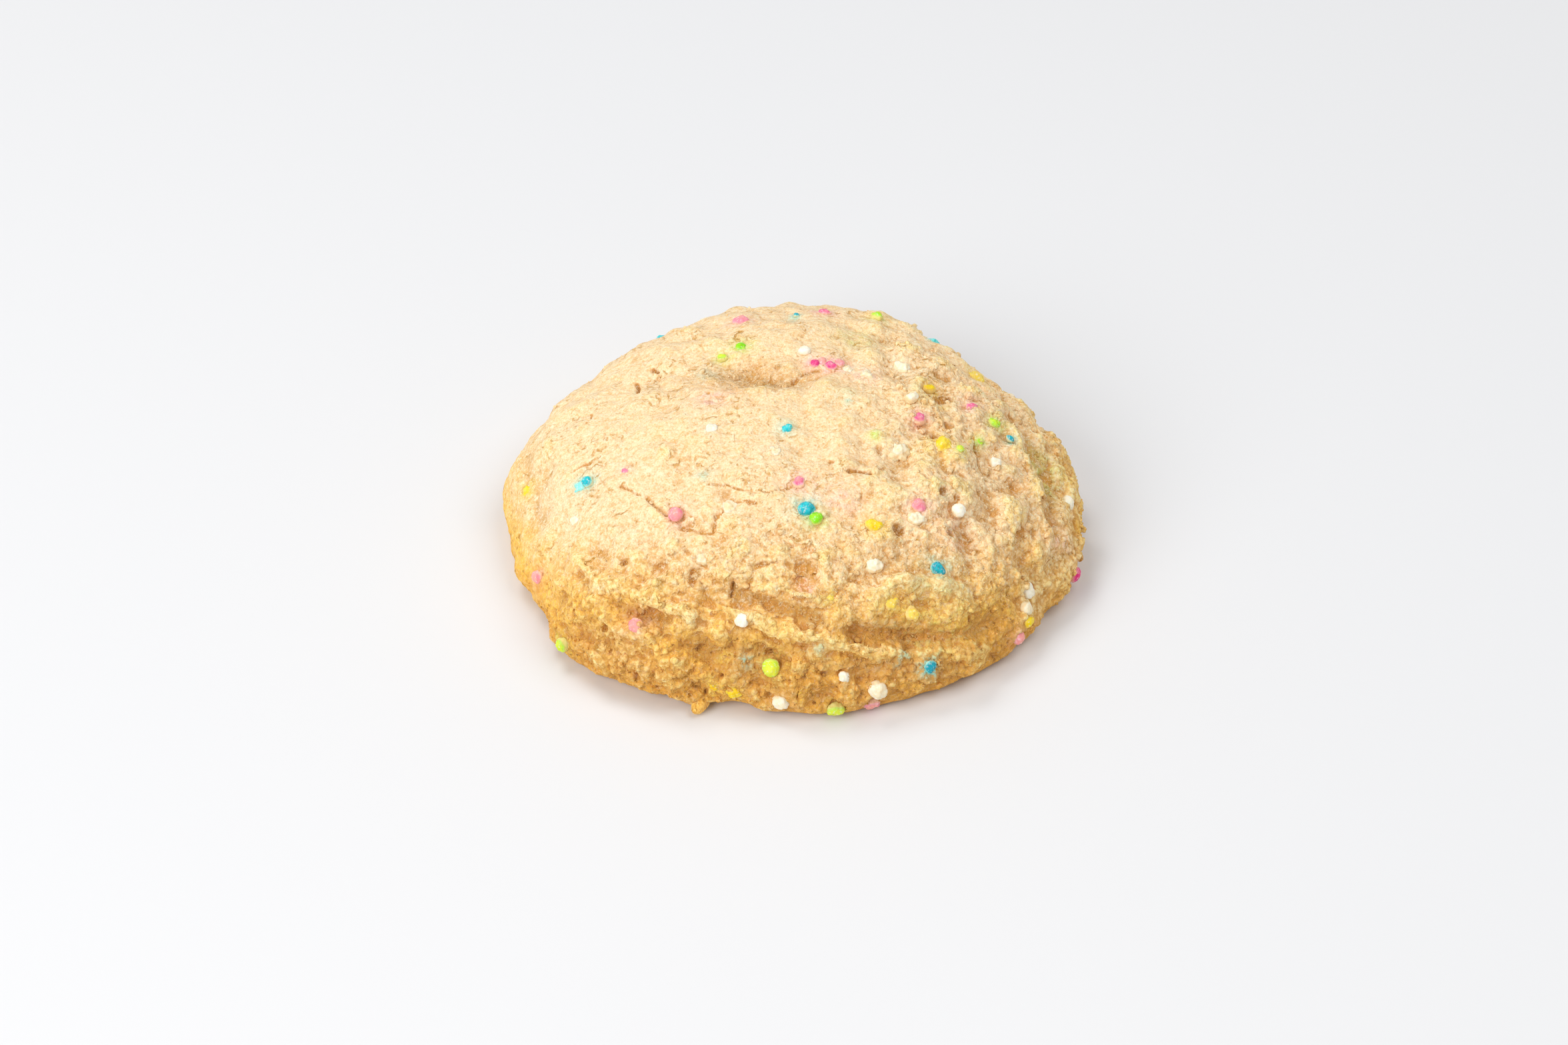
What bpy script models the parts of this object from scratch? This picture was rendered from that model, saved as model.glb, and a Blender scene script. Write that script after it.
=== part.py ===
"""A confetti sugar cookie: one thick baked round of dough, with nonpareils baked into its skin.

The dough rises to a low dome, its skirt folds over itself towards the front, and its foot is
drawn in a little above a flat underside. The origin is at the middle of the underside.
Places on the skin are given by how far they lie to the right and to the back of the middle of
the top, measured along the skin in millimetres, as on a cloth laid over the dome.
"""
import math
import random

import bpy
import numpy as np
from mathutils import Euler, Matrix, Vector, noise

MM = 0.001
QUARTER_TURN = 90
SHARP_ANGLE = math.radians(62)

# Driving dimensions of the dough, millimetres
RIM_RADIUS = 36.8
HEIGHT = 21.8
WIDEST_LEVEL = 3.4
UNDERCUT = 2.6

# How far the top stays level before it turns down, and how steeply it then falls
CROWN_WIDTH_POWER = 2.6
CROWN_DROP_POWER = 0.55

# Rings of points over the skin, from the middle of the top to the edge of the underside, and
# a power below one that sets them closer round the skirt
SKIN_RINGS = 36
RING_CROWDING = 0.9

# How far the skin as a whole lies outside the smooth dome
SKIN_LIFT = 0.3

# The skin's unevenness: size across and height of each kind of swelling
HEAVES = (18.0, 0.75)
LUMPS = (5.2, 0.75)
CRUMBS = (2.9, 0.5)
SWELLING_GAIN = 1.6

# The left of the top is nearly smooth, the front and the right are cobbled: the least share
# of the lumps and crumbs, and where along the skin the cobbling sets in
SMOOTH_SHARE = 0.45
COBBLED_FRONT = (10, 32)
COBBLED_RIGHT = (4, 20)

# The relief fades out over this height above the underside, and the rim's bulges set in
# over these distances along the skin
FOOT_FADE = 2.6
BULGE_FADE = (18, 43)

# Where the rim stands out from a true circle: bearing, half spread in degrees, and how far
RIM_BULGES = (
    (346, 8, 1.5),
    (4, 9, 0.2),
    (38, 25, -1.8),
    (124, 13, -1.5),
    (175, 11, 0.4),
    (206, 6, -1.2),
    (221, 8, 1.2),
    (241, 8, -0.3),
    (259, 15, -3.1),
    (293, 16, -1.3),
    (328, 8, 0.1),
)

# Broad rises and hollows: place on the skin, half length, half width, turn in degrees, height
RISES = (
    (27.6, 23.1, 9.0, 5.5, -50, -1.5),
    (18.5, 26.5, 5.0, 5.0, 0, -0.6),
    (-14.5, 27.0, 5.0, 5.0, 0, -0.6),
    (10.5, 28.5, 8.0, 4.0, -15, 0.6),
    (-26.0, 23.4, 9.0, 5.5, 45, -0.7),
    (-3.6, 7.6, 6.6, 3.0, -10, -1.0),
    (4.8, 3.8, 4.2, 2.6, 20, 0.55),
    (3.2, 7.3, 3.4, 0.9, 28, -0.8),
    (-1.0, 15.5, 7.5, 2.6, 5, 0.35),
    (-22.8, -32.6, 4.6, 2.6, -40, 0.7),
    (14.0, -8.6, 6.0, 1.5, 4, -0.45),
    (19.0, -14.0, 4.6, 3.4, 0, 0.5),
    (11.0, -25.4, 2.4, 1.3, 20, -0.6),
    (-12.3, -26.4, 2.0, 1.2, 60, -0.6),
)

# Rolls of dough round the skirt: the crest's bearings with its distances from the middle,
# then its height and half width
ROLLS = (
    (((211, 35.2), (229, 34.3), (246, 35.0)), 0.75, 1.5),
    (((254, 29.2), (270, 29.0), (286, 31.0)), 0.5, 1.5),
    (((289, 32.5), (296, 30.8), (303, 31.6), (312, 34.4)), 1.1, 1.4),
    (((294, 34.6), (303, 36.7), (320, 38.2)), 0.4, 1.3),
    (((250, 33.2), (270, 35.1), (287, 38.5), (313, 43.0)), 0.6, 1.4),
    (((318, 36.8), (334, 33.2), (353, 30.0)), 0.5, 1.6),
    (((338, 35.2), (354, 31.6), (370, 28.6)), 0.4, 1.6),
)

# Creases between the rolls, given alike, with their depth in place of the height
CREASES = (
    (((209, 36.4), (228, 35.4), (243, 36.6), (258, 39.0)), 1.1, 1.5),
    (((248, 32.0), (262, 31.3), (276, 33.3), (290, 36.8), (305, 40.0), (320, 41.0)), 1.0, 1.5),
    (((251, 35.0), (264, 36.8), (277, 39.0), (291, 41.4), (309, 44.2)), 0.7, 1.4),
    (((333, 40.2), (345, 37.2), (358, 34.0), (370, 31.8)), 1.0, 1.8),
    (((162, 34.7), (180, 35.7), (200, 36.8)), 0.8, 1.6),
)

# Folds fall steeply on the side of the top and gently on the side of the foot
INNER_STEEPNESS = 1.15
OUTER_STEEPNESS = 0.8

# Size of the lumps along a roll
ROLL_LUMP = 3.6

# How far a fold runs on past its last point, and over how much it tapers, in degrees
FOLD_OVERRUN = 3
FOLD_TAPER = 6

# The small drip at the foot: where its middle lies, and half its length, width and height
DRIP_BEARING = 250.7
DRIP_DISTANCE = 34.2
DRIP_LEVEL = 1.0
DRIP_HALVES = (2.4, 1.1, 0.95)

# Nonpareils: ordinary radius, its spread, how much of one shows above the skin, and how far
# one at the foot stays above the underside
BEAD_RADIUS = 1.05
BEAD_SPREAD = 0.1
BEAD_SHOWS = 0.75
BEAD_CLEARANCE = 0.05
BEAD_SIDES = 5
BEAD_LEVELS = 4

# Nonpareils of each colour on the top and the front, as places on the skin
BEADS = {
    "white": (
        (1.6, 12.3), (14.6, 11.3), (15.2, 2.1), (26.7, -4.8), (21.3, -15.4), (15.8, -18.0),
        (39.0, -4.2), (-10.2, -4.5), (-7.9, -17.3), (-7.1, -34.4), (-1.9, -45.6), (10.6, -25.6),
        (34.8, -21.6), (34.7, -24.5), (13.0, -42.0), (7.6, -40.8),
    ),
    "pink": (
        (-6.8, 21.2), (4.3, 24.9), (3.0, 9.9), (5.0, 9.3), (4.0, 10.1), (6.1, 10.0), (16.2, -0.8),
        (23.8, 4.2), (15.9, -16.3), (-14.6, -18.0), (-21.6, -32.2), (-39.4, -17.8), (43.7, -13.0),
        (34.6, -28.6), (13.6, -46.1),
    ),
    "turquoise": (
        (-0.7, -4.6), (-26.7, -9.0), (-27.8, -9.4), (1.7, -18.3), (19.0, -24.6), (20.2, -37.4),
        (20.3, 24.0),
    ),
    "green": (
        (-6.7, 13.8), (11.6, 24.7), (2.9, -19.7), (27.0, 2.9), (-3.3, -40.8), (7.2, -46.6),
        (-35.1, -29.5),
    ),
    "yellow": (
        (19.2, -5.2), (26.4, 16.2), (10.3, -20.1), (-9.5, -43.8), (35.2, -25.9), (13.2, -30.4),
        (4.7, -30.4),
    ),
}

# Nonpareils round the back: how many, the bearings and distances they lie between, and how
# much further out they begin at the two ends of the arc
BACK_BEADS = 16
BACK_BEARINGS = (30.0, 150.0)
BACK_DISTANCES = (34.5, 46.0)
BACK_SHIFT = 6.0
DRAW_SEED = 7

# Colour as linear red, green and blue, then roughness
FINISHES = {
    "baked_dough": ((0.78, 0.57, 0.30), 0.82),
    "white": ((0.90, 0.84, 0.70), 0.45),
    "pink": ((0.86, 0.25, 0.40), 0.42),
    "turquoise": ((0.05, 0.50, 0.62), 0.42),
    "green": ((0.45, 0.75, 0.08), 0.42),
    "yellow": ((0.88, 0.70, 0.06), 0.42),
}


def clear_scene():
    """Remove whatever the scene holds."""
    for item in list(bpy.data.objects):
        bpy.data.objects.remove(item)


def finish(name):
    """The matt or satin material of one colour."""
    colour, roughness = FINISHES[name]
    material = bpy.data.materials.new(name)
    material.use_nodes = True
    shader = material.node_tree.nodes["Principled BSDF"]
    shader.inputs["Base Color"].default_value = (*colour, 1)
    shader.inputs["Roughness"].default_value = roughness
    shader.inputs["Metallic"].default_value = 0
    return material


def smooth_step(low, high, value):
    """Zero below low, one above high, and an even curve between them."""
    share = min(max((value - low) / (high - low), 0), 1)
    return share * share * (3 - 2 * share)


def dome_profile():
    """Distance along the skin, radius and height, from the middle of the top to the foot."""
    crown = 1 - (1 - np.linspace(0, 1, 2000)) ** 2
    rise = (1 - crown ** CROWN_WIDTH_POWER) ** CROWN_DROP_POWER
    foot = np.linspace(0, math.pi / 2, 200)[1:]
    radius = np.concatenate([RIM_RADIUS * crown, RIM_RADIUS - UNDERCUT * (1 - np.cos(foot))])
    top = WIDEST_LEVEL + (HEIGHT - WIDEST_LEVEL) * rise
    height = np.concatenate([top, WIDEST_LEVEL * (1 - np.sin(foot))])
    steps = np.hypot(np.diff(radius), np.diff(height))
    along = np.concatenate([[0], np.cumsum(steps)])
    return along, radius, height


ALONG, RADIUS, LEVEL = dome_profile()
SKIN_LENGTH = ALONG[-1]
SKIN_STEP = 0.2


def polar(u, v):
    """Bearing in degrees and distance from the middle of a place on the skin."""
    return math.degrees(math.atan2(v, u)) % 360, math.hypot(u, v)


def rim_bulge(bearing):
    """How far the rim stands out from its circle at a bearing."""
    total = 0
    for middle, spread, amount in RIM_BULGES:
        away = (bearing - middle + 180) % 360 - 180
        total += amount * math.exp(-(away / spread) ** 2)
    return total


def smooth_dome(bearing, distance):
    """The point of the dome without its relief."""
    radius = np.interp(distance, ALONG, RADIUS)
    radius += rim_bulge(bearing) * smooth_step(*BULGE_FADE, distance)
    turn = math.radians(bearing)
    level = np.interp(distance, ALONG, LEVEL)
    return Vector((radius * math.cos(turn), radius * math.sin(turn), level))


def outward(bearing, distance):
    """The direction in which the skin faces."""
    near = max(distance - SKIN_STEP, 0)
    far = min(distance + SKIN_STEP, SKIN_LENGTH)
    run = np.interp(far, ALONG, RADIUS) - np.interp(near, ALONG, RADIUS)
    fall = np.interp(far, ALONG, LEVEL) - np.interp(near, ALONG, LEVEL)
    turn = math.radians(bearing)
    return Vector((-fall * math.cos(turn), -fall * math.sin(turn), run)).normalized()


def fold_share(fold, bearing, distance):
    """One on the line of a roll or a crease, and less beside it and towards its two ends."""
    line, _, width = fold
    bearings, distances = zip(*line)
    turn = bearings[0] + (bearing - bearings[0] + QUARTER_TURN) % 360 - QUARTER_TURN
    begins = smooth_step(bearings[0] - FOLD_OVERRUN, bearings[0] + FOLD_TAPER, turn)
    ends = smooth_step(bearings[-1] - FOLD_TAPER, bearings[-1] + FOLD_OVERRUN, turn)
    away = (distance - np.interp(turn, bearings, distances)) / width
    if away < 0:
        away *= INNER_STEEPNESS
    else:
        away *= OUTER_STEEPNESS
    return begins * (1 - ends) * math.exp(-away * away)


def rise_relief(rise, u, v):
    """Height that one broad rise or hollow adds."""
    middle_u, middle_v, length, width, turn, height = rise
    across = Matrix.Rotation(-math.radians(turn), 2) @ Vector((u - middle_u, v - middle_v))
    return height * math.exp(-(across.x / length) ** 2 - (across.y / width) ** 2)


def swelling(point, kind):
    """Uneven swelling of one kind at a point of the dome."""
    size, height = kind
    return height * SWELLING_GAIN * noise.noise(point / size)


def coarseness(u, v):
    """Share of the lumps and crumbs at a place on the skin."""
    cobbled = max(smooth_step(*COBBLED_FRONT, -v), smooth_step(*COBBLED_RIGHT, u))
    return SMOOTH_SHARE + (1 - SMOOTH_SHARE) * cobbled


def relief(u, v):
    """How far the skin stands above the smooth dome."""
    bearing, distance = polar(u, v)
    point = smooth_dome(bearing, distance)
    coarse = coarseness(u, v)
    height = SKIN_LIFT + swelling(point, HEAVES)
    height += coarse * swelling(point, LUMPS)
    height += coarse * swelling(point, CRUMBS)
    for rise in RISES:
        height += rise_relief(rise, u, v)
    lumpy = 1 + noise.noise(point / ROLL_LUMP)
    for roll in ROLLS:
        height += lumpy * roll[1] * fold_share(roll, bearing, distance)
    for crease in CREASES:
        height -= crease[1] * fold_share(crease, bearing, distance)
    return height * min(1, point.z / FOOT_FADE)


def skin_point(u, v, lift=0.0):
    """A point of the finished skin, or one that lies a little above or below it."""
    bearing, distance = polar(u, v)
    height = relief(u, v) + lift
    return smooth_dome(bearing, distance) + outward(bearing, distance) * height


def ring_start(ring):
    """Number of the first point of a ring."""
    return 1 + 3 * ring * (ring - 1) if ring else 0


def skin_points():
    """Points of the skin, ring by ring, with six more on each ring than on the last."""
    points = [skin_point(0, 0)]
    for ring in range(1, SKIN_RINGS + 1):
        distance = SKIN_LENGTH * (ring / SKIN_RINGS) ** RING_CROWDING
        for step in range(6 * ring):
            turn = 2 * math.pi * step / (6 * ring)
            points.append(skin_point(distance * math.cos(turn), distance * math.sin(turn)))
    return points


def skin_faces():
    """Triangles between each ring and the one inside it, and the flat underside."""
    faces = []
    for ring in range(1, SKIN_RINGS + 1):
        inner = ring - 1
        for side in range(6):
            for step in range(ring):
                outer_a = ring_start(ring) + side * ring + step
                outer_b = ring_start(ring) + (side * ring + step + 1) % (6 * ring)
                inner_a = ring_start(inner) + (side * inner + step) % max(6 * inner, 1)
                faces.append((outer_a, outer_b, inner_a))
                if step < ring - 1:
                    inner_b = ring_start(inner) + (side * inner + step + 1) % (6 * inner)
                    faces.append((outer_b, inner_b, inner_a))
    edge = ring_start(SKIN_RINGS)
    faces.append(tuple(reversed(range(edge, edge + 6 * SKIN_RINGS))))
    return faces


def mesh_object(name, points, faces, material, collection):
    """A mesh object in a collection, from points in millimetres."""
    mesh = bpy.data.meshes.new(name)
    mesh.from_pydata([point * MM for point in points], [], faces)
    mesh.materials.append(material)
    item = bpy.data.objects.new(name, mesh)
    collection.objects.link(item)
    return item


def bead_shape(halves, place):
    """Points and faces of a ball or an egg with few sides, set in place by a matrix."""
    points = [Vector((0, 0, -1)), Vector((0, 0, 1))]
    for level in range(1, BEAD_LEVELS):
        tilt = math.pi * level / BEAD_LEVELS
        for side in range(BEAD_SIDES):
            turn = 2 * math.pi * (side + 0.5 * level) / BEAD_SIDES
            radius = math.sin(tilt)
            points.append(Vector((radius * math.cos(turn), radius * math.sin(turn), -math.cos(tilt))))
    faces = []
    for side in range(BEAD_SIDES):
        after = (side + 1) % BEAD_SIDES
        faces.append((0, 2 + after, 2 + side))
        top = 2 + BEAD_SIDES * (BEAD_LEVELS - 2)
        faces.append((1, top + side, top + after))
        for level in range(BEAD_LEVELS - 2):
            low = 2 + BEAD_SIDES * level
            high = low + BEAD_SIDES
            faces.append((low + side, low + after, high + side))
            faces.append((low + after, high + after, high + side))
    stretch = Matrix.Diagonal((*halves, 1))
    return [place @ stretch @ point for point in points], faces


def bead(number, u, v, material, collection, draw):
    """One nonpareil, sunk in the skin so that its upper part shows."""
    radius = BEAD_RADIUS + BEAD_SPREAD * draw.uniform(-1, 1)
    halves = (radius * draw.uniform(1.0, 1.18), radius, radius * draw.uniform(0.9, 1.0))
    middle = skin_point(u, v, BEAD_SHOWS - radius)
    middle.z = max(middle.z, radius + BEAD_CLEARANCE)
    turn = Euler([draw.uniform(0, 2 * math.pi) for _ in range(3)]).to_matrix().to_4x4()
    points, faces = bead_shape(halves, Matrix.Translation(middle) @ turn)
    return mesh_object(f"nonpareil_{number}", points, faces, material, collection)


def back_places(draw):
    """Places of the nonpareils round the back, one in each equal share of the arc."""
    first, last = BACK_BEARINGS
    nearest, furthest = BACK_DISTANCES
    share = (last - first) / BACK_BEADS
    for number in range(BACK_BEADS):
        bearing = first + share * (number + draw.uniform(0.2, 0.8))
        off_middle = 2 * (bearing - first) / (last - first) - 1
        distance = draw.uniform(nearest + BACK_SHIFT * off_middle ** 2, furthest)
        turn = math.radians(bearing)
        yield distance * math.cos(turn), distance * math.sin(turn)


def sprinkle(collection, finishes, draw):
    """All the nonpareils: those of the top and front by colour, then those round the back."""
    number = 0
    for colour, places in BEADS.items():
        for u, v in places:
            bead(number, u, v, finishes[colour], collection, draw)
            number += 1
    colours = list(BEADS)
    for u, v in back_places(random.Random(DRAW_SEED)):
        bead(number, u, v, finishes[colours[number % len(colours)]], collection, draw)
        number += 1


def drip(material, collection):
    """The small drip of dough that ran out at the foot and lies flat."""
    turn = math.radians(DRIP_BEARING)
    middle = Vector((DRIP_DISTANCE * math.cos(turn), DRIP_DISTANCE * math.sin(turn), DRIP_LEVEL))
    place = Matrix.Translation(middle) @ Matrix.Rotation(turn, 4, "Z")
    points, faces = bead_shape(DRIP_HALVES, place)
    mesh_object("drip", points, faces, material, collection)


def fuse(body, collection):
    """Join the body and everything in the collection into one solid."""
    union = body.modifiers.new("fused", "BOOLEAN")
    union.operation = "UNION"
    union.solver = "EXACT"
    union.operand_type = "COLLECTION"
    union.collection = collection
    union.material_mode = "TRANSFER"
    evaluated = body.evaluated_get(bpy.context.evaluated_depsgraph_get())
    fused = bpy.data.meshes.new_from_object(evaluated)
    body.modifiers.remove(union)
    body.data = fused
    for item in list(collection.objects):
        bpy.data.objects.remove(item)
    bpy.data.collections.remove(collection)


def centre(body):
    """Bring the middle of the underside's bounding box to the origin."""
    corners = np.array([point.co for point in body.data.vertices])
    middle = (corners.min(axis=0) + corners.max(axis=0)) / 2
    body.data.transform(Matrix.Translation((-middle[0], -middle[1], 0)))


def build():
    """Make the cookie."""
    clear_scene()
    scene = bpy.context.scene
    draw = random.Random(DRAW_SEED)
    finishes = {name: finish(name) for name in FINISHES}
    body = mesh_object("cookie", skin_points(), skin_faces(), finishes["baked_dough"], scene.collection)
    toppings = bpy.data.collections.new("toppings")
    scene.collection.children.link(toppings)
    sprinkle(toppings, finishes, draw)
    drip(finishes["baked_dough"], toppings)
    fuse(body, toppings)
    centre(body)
    body.data.shade_smooth()
    body.data.set_sharp_from_angle(angle=SHARP_ANGLE)


build()
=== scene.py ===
"""A confetti sugar cookie, baked thick, on a plain pale floor.

The cookie is one round of dough with nonpareils baked into its skin. Places on the skin are
given by how far they lie to the right and to the back of the middle of the top, measured along
the skin in millimetres, as on a cloth laid over the dome. A bearing is in degrees, from the
right round by the back.
"""

import math
import random

import bpy
import numpy as np
from mathutils import Matrix, Vector, noise


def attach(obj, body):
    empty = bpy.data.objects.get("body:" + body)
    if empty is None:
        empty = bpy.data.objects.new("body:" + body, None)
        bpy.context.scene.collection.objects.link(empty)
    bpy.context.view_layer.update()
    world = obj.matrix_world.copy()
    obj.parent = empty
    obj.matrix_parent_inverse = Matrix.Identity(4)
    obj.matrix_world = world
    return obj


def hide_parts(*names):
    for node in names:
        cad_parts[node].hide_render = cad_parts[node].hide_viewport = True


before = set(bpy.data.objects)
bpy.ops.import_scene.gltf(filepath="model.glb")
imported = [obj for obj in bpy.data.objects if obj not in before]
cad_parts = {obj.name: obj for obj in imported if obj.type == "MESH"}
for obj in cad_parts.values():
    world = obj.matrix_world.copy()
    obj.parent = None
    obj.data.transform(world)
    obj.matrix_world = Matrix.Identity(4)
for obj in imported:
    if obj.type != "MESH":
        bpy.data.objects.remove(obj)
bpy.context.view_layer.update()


# The dough
# One scoop of soft butter and sugar dough, baked until it slumps to a thick round. The top
# stays pale and nearly smooth, the skirt folds over itself towards the front and turns golden,
# and the sheet it is baked on leaves the underside flat.

MM = 0.001

# The smooth dome in millimetres: its radius, its height, the level at which it is widest, how
# far the foot turns in below that, how its crown falls away, and the steps that its profile is
# worked out in
RIM_RADIUS = 36.8
HEIGHT = 21.8
WIDEST_LEVEL = 3.4
UNDERCUT = 2.6
CROWN_WIDTH_POWER = 2.6
CROWN_DROP_POWER = 0.55
CROWN_STEPS = 2000
FOOT_STEPS = 200

# How far the skin as a whole lies outside the smooth dome
SKIN_LIFT = 0.3

# Size across and height of each kind of swelling, and what makes up for noise that seldom
# reaches its full height
HEAVES = (18.0, 0.75)
LUMPS = (5.2, 0.75)
CRUMBS = (2.9, 0.5)
SWELLING_GAIN = 1.6

# The share of the lumps and crumbs that the smoothest part has, and how far to the front and
# to the right the others set in and are full
SMOOTH_SHARE = 0.45
COBBLED_FRONT = (10, 32)
COBBLED_RIGHT = (4, 20)

# The level below which all relief fades out, and the distances from the middle between which
# the bulges of the rim set in
FOOT_FADE = 2.6
BULGE_FADE = (18, 43)

# Where the rim stands out from a circle: bearing, half spread in degrees, and how far
RIM_BULGES = (
    (346, 8, 1.5),
    (4, 9, 0.2),
    (38, 25, -1.8),
    (124, 13, -1.5),
    (175, 11, 0.4),
    (206, 6, -1.2),
    (221, 8, 1.2),
    (241, 8, -0.3),
    (259, 15, -3.1),
    (293, 16, -1.3),
    (328, 8, 0.1),
)

# Broad rises and hollows: place on the skin, half length, half width, turn in degrees, height
RISES = (
    (27.6, 23.1, 9.0, 5.5, -50, -1.5),
    (18.5, 26.5, 5.0, 5.0, 0, -0.6),
    (-14.5, 27.0, 5.0, 5.0, 0, -0.6),
    (10.5, 28.5, 8.0, 4.0, -15, 0.6),
    (-26.0, 23.4, 9.0, 5.5, 45, -0.7),
    (-3.6, 7.6, 6.6, 3.0, -10, -1.0),
    (4.8, 3.8, 4.2, 2.6, 20, 0.55),
    (3.2, 7.3, 3.4, 0.9, 28, -0.8),
    (-1.0, 15.5, 7.5, 2.6, 5, 0.35),
    (-22.8, -32.6, 4.6, 2.6, -40, 0.7),
    (14.0, -8.6, 6.0, 1.5, 4, -0.45),
    (19.0, -14.0, 4.6, 3.4, 0, 0.5),
    (19.5, -22.4, 6.0, 2.4, 8, -0.8),
    (11.0, -25.4, 2.4, 1.3, 20, -0.6),
    (-12.3, -26.4, 2.0, 1.2, 60, -0.6),
    (16.0, -34.6, 10.0, 1.8, 8, -0.9),
    (29.5, -16.0, 12.0, 1.6, 84, -0.5),
    (0.0, -38.0, 3.5, 1.5, 0, -0.4),
    (9.5, -10.2, 2.0, 1.2, 0, -0.4),
    (-4.0, -28.0, 3.0, 1.0, 0, 0.4),
    (-6.0, -20.2, 4.0, 3.0, 0, 0.5),
    (15.8, 1.5, 1.6, 3.0, 0, 0.4),
    (-24.5, -25.6, 4.0, 1.2, -35, 0.4),
)

# Rolls of dough round the skirt: the crest's bearings with its distances from the middle of
# the top, then its height and half width
ROLLS = (
    (((211, 35.2), (229, 34.3), (246, 35.0)), 0.8, 1.6),
    (((254, 30.0), (270, 30.4), (286, 31.8)), 0.6, 1.3),
    (((289, 32.5), (296, 30.8), (303, 31.6), (312, 34.4)), 1.9, 1.2),
    (((294, 34.6), (303, 36.7), (320, 38.2)), 0.4, 1.1),
    (((250, 33.2), (270, 35.1), (287, 38.5), (313, 43.0)), 1.0, 1.2),
    (((318, 36.8), (334, 33.2), (353, 30.0)), 0.5, 1.4),
    (((338, 35.2), (354, 31.6), (370, 28.6)), 0.4, 1.4),
)

# Creases between the rolls, given alike, with their depth in place of the height
CREASES = (
    (((209, 36.4), (228, 35.4), (243, 36.6), (258, 39.0)), 0.8, 1.35),
    (((248, 32.0), (262, 31.3), (276, 33.3), (290, 36.8), (305, 40.0), (320, 41.0)), 1.0, 1.4),
    (((251, 35.0), (264, 36.8), (277, 39.0), (291, 41.4), (309, 44.2)), 0.6, 1.3),
    (((333, 40.2), (345, 37.2), (358, 34.0), (370, 31.8)), 1.1, 1.7),
    (((162, 34.7), (180, 35.7), (200, 36.8)), 0.7, 1.5),
)

# How steep a fold is towards the middle and away from it, the size of the lumps on a roll, how
# many degrees a fold runs past its ends and fades before them, and how far before its first
# end bearings are still counted back from it
INNER_STEEPNESS = 1.25
OUTER_STEEPNESS = 0.8
ROLL_LUMP = 3.6
FOLD_OVERRUN = 3
FOLD_TAPER = 6
QUARTER_TURN = 90

# Over what length a fold's line wavers and how far, broadly and finely, then the share of its
# depth that a crease has on the whole, and over what length and how far that share varies
FOLD_WANDER = (4.2, 0.5)
FOLD_RAGGED = (1.7, 0.25)
CREASE_SHARE = 0.75
CREASE_BREAK = (6.0, 0.9)

# Wrinkles where the skirt sagged: their length and width, how high they roll, how deep and how
# sharp the creases between them are, and where they set in towards the front and the right
WRINKLE_SPAN = (9.0, 2.6)
WRINKLE_ROLL = 0.7
WRINKLE_CREASE = 0.2
WRINKLE_SHARPNESS = 0.09
WRINKLED_FRONT = (16, 29)
WRINKLED_RIGHT = (22, 33)

# Spacing of the skin's points and of the underside's, and how far each ring of them is turned
# from the one before, in radians
SKIN_SPACING = 0.285
UNDERSIDE_SPACING = 0.62
GOLDEN_TURN = 2.4


def smooth_step(low, high, value):
    """Zero below low, one above high, and an even curve between them."""
    share = np.clip((value - low) / (high - low), 0, 1)
    return share * share * (3 - 2 * share)


def dome_profile():
    """Distance along the skin, radius and height, from the middle of the top to the foot."""
    crown = 1 - (1 - np.linspace(0, 1, CROWN_STEPS)) ** 2
    rise = (1 - crown ** CROWN_WIDTH_POWER) ** CROWN_DROP_POWER
    foot = np.linspace(0, math.pi / 2, FOOT_STEPS)[1:]
    radius = np.concatenate([RIM_RADIUS * crown, RIM_RADIUS - UNDERCUT * (1 - np.cos(foot))])
    top = WIDEST_LEVEL + (HEIGHT - WIDEST_LEVEL) * rise
    height = np.concatenate([top, WIDEST_LEVEL * (1 - np.sin(foot))])
    along = np.concatenate([[0], np.cumsum(np.hypot(np.diff(radius), np.diff(height)))])
    return along, radius, height


# The profile, its whole length, and the step to each side over which its slope is taken
ALONG, RADIUS, LEVEL = dome_profile()
SKIN_LENGTH = ALONG[-1]
SKIN_STEP = 0.2


def polar(u, v):
    """Bearings in degrees and distances from the middle of places on the skin."""
    return np.degrees(np.arctan2(v, u)) % 360, np.hypot(u, v)


def around(bearing, radius, level):
    """Points at a bearing, a radius and a level."""
    turn = np.radians(bearing)
    return np.stack([radius * np.cos(turn), radius * np.sin(turn), level], -1)


def rim_bulge(bearing):
    """How far the rim stands out from its circle at each bearing."""
    total = np.zeros_like(bearing)
    for middle, spread, amount in RIM_BULGES:
        away = (bearing - middle + 180) % 360 - 180
        total += amount * np.exp(-(away / spread) ** 2)
    return total


def smooth_dome(bearing, distance):
    """Points of the dome without its relief."""
    radius = np.interp(distance, ALONG, RADIUS)
    radius = radius + rim_bulge(bearing) * smooth_step(*BULGE_FADE, distance)
    return around(bearing, radius, np.interp(distance, ALONG, LEVEL))


def outward(bearing, distance):
    """The directions in which the skin faces."""
    near = np.maximum(distance - SKIN_STEP, 0)
    far = np.minimum(distance + SKIN_STEP, SKIN_LENGTH)
    run = np.interp(far, ALONG, RADIUS) - np.interp(near, ALONG, RADIUS)
    fall = np.interp(far, ALONG, LEVEL) - np.interp(near, ALONG, LEVEL)
    facing = around(bearing, -fall, run)
    return facing / np.linalg.norm(facing, axis=-1, keepdims=True)


def swelling(points, size, height):
    """Uneven swelling at each point, of one size and height."""
    return height * np.array([noise.noise(Vector(point) / size) for point in points])


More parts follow.
